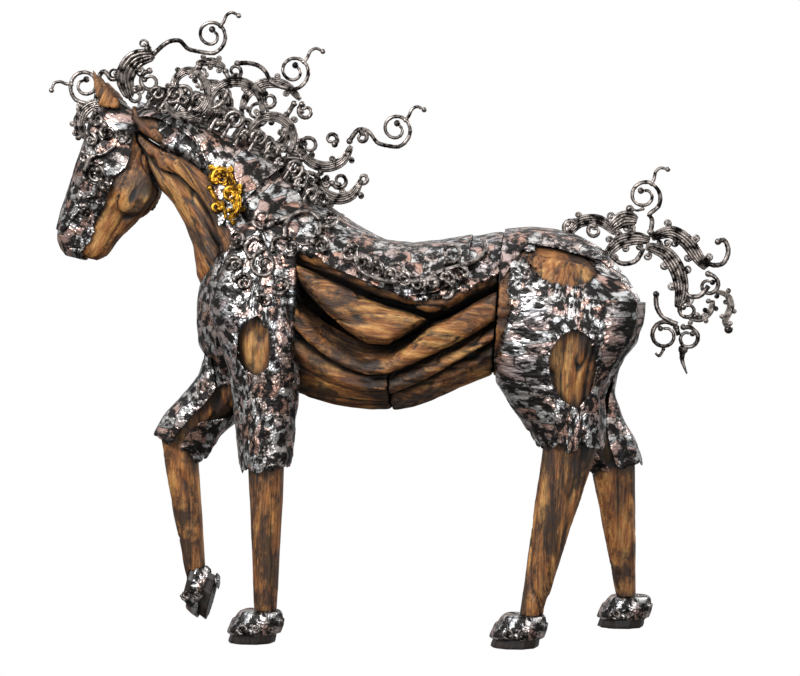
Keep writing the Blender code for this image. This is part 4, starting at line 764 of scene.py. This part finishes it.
def hooves():
    for name in ("fore_left", "fore_right", "hind_left", "hind_right"):
        mesh = modified(
            copy_of("hoof_" + name),
            ("REMESH", {"mode": "VOXEL", "voxel_size": HOOF_GRID}),
            ("SMOOTH", {"factor": 0.5, "iterations": 3}),
        )
        co = coordinates(mesh)
        co[:, 2] = np.maximum(co[:, 2], 0.0)
        mesh.vertices.foreach_set("co", co.ravel())
        obj = finished("hoof_" + name + "_burnt", mesh, CHARRED_AND_PAINTED_SHADE)
        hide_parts("hoof_" + name)
        beat_sheet("hoof_cover_" + name, (0, 0, 1), 0.08, COVER)


def painted_shade_board():
    """Painted shade: a dark board behind the gaps in the flank, where there is only shade. The photo shows
    only black there, and no board.
    """
    bm = bmesh.new()
    top = [(-22, 82), (-12, 81), (0, 78), (12, 77), (24, 79)]
    low = [(-22, 68), (-12, 66), (0, 64), (12, 65), (24, 69)]
    for y in (-0.012, 0.012):
        verts = [bm.verts.new(spot(x, z, y)) for x, z in top + low[::-1]]
        bm.faces.new(verts)
    bm.verts.ensure_lookup_table()
    count = len(top) * 2
    for k in range(count):
        j = (k + 1) % count
        bm.faces.new((bm.verts[k], bm.verts[j], bm.verts[count + j], bm.verts[count + k]))
    bmesh.ops.recalc_face_normals(bm, faces=bm.faces)
    mesh = bpy.data.meshes.new("painted_shade_board")
    bm.to_mesh(mesh)
    bm.free()
    # Painted shade: the board is given the black charred material.
    finished("painted_shade_board", mesh, CHARRED_AND_PAINTED_SHADE)


def gilding():
    """The gilded leaf scrolls nailed in the middle of the neck."""
    for side, tag in ((LEFT, "left"), (RIGHT, "right")):
        leaf = Casting("neck_gilding_" + tag, lay=GROUND, side=side)
        leaf.curl((-37.4, 104.0), 2.2, 200, -420, 0.8)
        leaf.curl((-35.2, 100.2), 1.7, 60, 400, 0.6)
        leaf.rod(eased([(-40.0, 101.6), (-38.6, 99.2), (-36.8, 97.2), (-36.4, 94.8)], 2), ROD, ROD_TIP)
        leaf.curl((-38.4, 97.4), 1.4, 30, -380, 0.5)
        leaf.band(eased([(-40.2, 103.4), (-38.4, 105.4), (-35.8, 104.2), (-34.6, 101.0)], 2), 2.4)
        leaf.band(eased([(-35.6, 101.8), (-33.8, 99.6), (-34.0, 96.6), (-35.6, 94.4)], 2), 1.9)
        leaf.done(GILT)


def crest_filling():
    """The small scrolls that stand close together along the crest and hide the neck's edge."""
    line = [np.array(p) for p in (
        (-56.0, 121.6), (-50.4, 121.2), (-45.2, 119.4), (-40.0, 116.6), (-34.6, 113.4),
        (-29.4, 109.6), (-24.6, 105.2), (-20.6, 100.4), (-17.2, 96.2))]
    for tag, y, phase in (("left", -0.05, 0.0), ("middle", 0.0, 0.35), ("right", 0.05, 0.7)):
        comb = Casting("crest_scrolls_" + tag, y)
        for n in range(15):
            u = (n + phase) * (len(line) - 1) / 15
            x, z = catmull(line, u)
            size = 1.7 + 0.7 * math.sin(n * 2.4 + phase * 9)
            turn = 1 if n % 2 else -1
            comb.curl((x + 0.6 + size * 0.5, z + size * 0.9), size, 220 + 30 * turn, 430 * turn, size * 0.3)
            comb.rod(eased([(x - 1.2, z - 1.6), (x, z + 0.4), (x + size, z + size * 1.7)], 2), ROD, ROD_TIP)
        comb.done()


def shoulder_filling():
    """More scrolls nailed over the shoulder, the face and the back, the same on both sides."""
    for side, tag in ((LEFT, "left"), (RIGHT, "right")):
        more = Casting("shoulder_filling_" + tag, lay=GROUND, side=side)
        for x, z, r, turn in (
            (-33.6, 90.2, 2.2, 1), (-31.0, 80.6, 2.0, -1), (-23.0, 80.0, 1.9, 1), (-14.2, 88.8, 2.2, -1),
            (-21.0, 88.2, 1.9, 1), (-33.4, 84.6, 1.7, -1), (-12.8, 94.6, 1.8, 1), (-26.2, 76.6, 1.5, -1),
        ):
            more.curl((x, z), r, 200 + 40 * turn, 440 * turn, r * 0.3)
        for i in range(9):
            x = -8.0 + 3.1 * i
            z = float(np.interp(x, HEM_X, HEM_Z)) + 3.6
            turn = 1 if i % 2 else -1
            more.curl((x, z), 1.7, 30 - 60 * turn, 420 * turn, 0.5)
        for x, z, r, turn in (
            (-63.6, 114.4, 1.8, 1), (-69.4, 96.6, 1.3, -1), (-64.2, 102.4, 1.3, 1),
            (-67.6, 112.6, 1.6, -1), (-66.4, 117.2, 1.7, 1), (-60.4, 113.0, 1.5, -1), (-68.8, 108.6, 1.3, 1),
        ):
            more.curl((x, z), r, 120, 430 * turn, r * 0.3)
        more.done()


def hoof_scrolls():
    """A pair of curls on the front of each hoof's cover."""
    for name in ("fore_left", "fore_right", "hind_left", "hind_right"):
        low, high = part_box("hoof_cover_" + name)
        side = RIGHT if name.endswith("right") else LEFT
        x = ((low.x + high.x) / 2 - SHIFT_X) * 100 / WITHERS_HEIGHT
        z = (low.z + high.z) / 2 * 100 / WITHERS_HEIGHT
        covers = trees_of(["hoof_cover_" + name, "hoof_" + name])
        for face in (LEFT, RIGHT):
            tip = Casting(f"hoof_scroll_{name}_{'outer' if face == side else 'inner'}", lay=covers, side=face)
            tip.centre_y = (low.y + high.y) / 2
            tip.curl((x - 2.2, z), 1.2, 200, 420, 0.4, ROD_TIP)
            tip.curl((x + 0.8, z + 0.2), 1.0, 20, -420, 0.4, ROD_TIP)
            tip.done()


def trees_of(names):
    trees = []
    for name in names:
        bm = bmesh.new()
        bm.from_mesh(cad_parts[name].data)
        trees.append(BVHTree.FromBMesh(bm))
        bm.free()
    return trees


def studio():
    """A white backdrop, a broad key from the upper left, and grey bands that the metal mirrors."""
    world = bpy.data.worlds.new("studio")
    bpy.context.scene.world = world
    world.use_nodes = True
    nodes, links = world.node_tree.nodes, world.node_tree.links
    nodes.clear()
    place = nodes.new("ShaderNodeTexCoord")
    split = nodes.new("ShaderNodeSeparateXYZ")
    links.new(place.outputs["Generated"], split.inputs[0])
    ramp = nodes.new("ShaderNodeValToRGB")
    stops = [(0.0, 0.10), (0.30, 0.28), (0.46, 0.55), (0.54, 0.30), (0.72, 1.0), (1.0, 1.5)]
    elements = ramp.color_ramp.elements
    while len(elements) < len(stops):
        elements.new(0.5)
    for element, (at, value) in zip(elements, stops):
        element.position = at
        element.color = (value, value, value, 1)
    shift = nodes.new("ShaderNodeMath")
    shift.operation = "MULTIPLY_ADD"
    shift.inputs[1].default_value = 0.5
    shift.inputs[2].default_value = 0.5
    links.new(split.outputs["Z"], shift.inputs[0])
    links.new(shift.outputs[0], ramp.inputs["Fac"])
    room = nodes.new("ShaderNodeBackground")
    links.new(ramp.outputs["Color"], room.inputs["Color"])
    room.inputs["Strength"].default_value = 0.9
    white = nodes.new("ShaderNodeBackground")
    white.inputs["Color"].default_value = (1.0, 1.0, 1.0, 1.0)
    white.inputs["Strength"].default_value = 1.0
    seen = nodes.new("ShaderNodeLightPath")
    blend = nodes.new("ShaderNodeMixShader")
    links.new(seen.outputs["Is Camera Ray"], blend.inputs[0])
    links.new(room.outputs[0], blend.inputs[1])
    links.new(white.outputs[0], blend.inputs[2])
    out = nodes.new("ShaderNodeOutputWorld")
    links.new(blend.outputs[0], out.inputs[0])
    for name, position, size, power in (
        ("key", (-3.2, -4.5, 4.2), 2.2, 330),
        ("front", (1.8, -6.0, 1.6), 2.6, 120),
        ("rim", (3.5, 3.5, 3.5), 2.0, 220),
    ):
        lamp = bpy.data.lights.new(name, "AREA")
        lamp.size = size
        lamp.energy = power
        holder = bpy.data.objects.new(name, lamp)
        holder.location = position
        holder.rotation_euler = (Vector((0, 0, 1.1)) - Vector(position)).to_track_quat("-Z", "Y").to_euler()
        bpy.context.scene.collection.objects.link(holder)


def camera():
    lens = bpy.data.cameras.new("camera")
    lens.sensor_width = SENSOR_MM
    lens.lens = LENS_MM
    holder = bpy.data.objects.new("camera", lens)
    holder.location = (CAMERA_PLACE[0] + SHIFT_X, CAMERA_PLACE[1], CAMERA_PLACE[2])
    holder.rotation_euler = (math.radians(90 - CAMERA_DOWN), 0, math.radians(CAMERA_TURN))
    bpy.context.scene.collection.objects.link(holder)
    scene = bpy.context.scene
    scene.camera = holder
    scene.render.resolution_x, scene.render.resolution_y = PHOTO_SIZE
    scene.view_settings.view_transform = "Standard"
    scene.view_settings.look = "None"


WOODS = [
    name for name, obj in sorted(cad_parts.items())
    if "sheet" not in name and "cover" not in name
    and name.startswith(("chest", "croup", "back_slab", "belly", "flank", "neck", "head", "ear", "leg"))
]
SHEETS = [name for name in sorted(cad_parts) if name.endswith("_sheet") or "_sheet_" in name]
GROUND = trees_of(WOODS + SHEETS)
for wood in WOODS:
    carve_wood(wood, body_direction(wood), LEG_DEPTH if wood.startswith("leg") else WOOD_DEPTH)
for plate in SHEETS:
    reach = 0.28 if plate.startswith(("back", "croup", "chest")) else 0.12
    beat_sheet(plate, body_direction(plate), reach)
hooves()
clad("croup_block", TRUNK, 0.28, lambda x, z, y: min(
    z - 71, outside(x, z, *CROUP_WINDOW) if abs(y) > 0.08 else 9, x - 27.5))
clad("chest_block", UPRIGHT, 0.25, lambda x, z, y: z - 64)
clad("back_slab", TRUNK, 0.28, lambda x, z, y: z - float(np.interp(x, HEM_X, HEM_Z)))
for tag in ("left", "right"):
    clad("leg_hind_" + tag, UPRIGHT, 0.15, lambda x, z, y: min(
        z - 57, outside(x, z, *THIGH_WINDOW), outside(x, z, *CROUP_WINDOW)))
    clad("leg_fore_" + tag, UPRIGHT, 0.12, lambda x, z, y: min(
        z - 56, outside(x, z, *SHOULDER_WINDOW)))
    clad("hoof_hind_" + tag, UPRIGHT, 0.08, lambda x, z, y: 2 * (z - 4.4))
    clad("neck_side_slab_" + tag, NECK, 0.12, lambda x, z, y: x + 37 + (z - 98) * 0.25)
clad("neck_crest_slab", NECK, 0.12, lambda x, z, y: x + 52)
clad("head_block", HEAD, 0.1, lambda x, z, y: 0.415 * (z - 109.8) - 0.91 * (x + 59.8))
clad("hoof_fore_left", UPRIGHT, 0.08, lambda x, z, y: 2 * (z - 4.4))
clad("hoof_fore_right", UPRIGHT, 0.08, lambda x, z, y: 2 * (x + 42.6))
painted_shade_board()
gilding()
crest_filling()
mane()
tail()
laid_scrolls()
shoulder_filling()
hoof_scrolls()
studio()
camera()
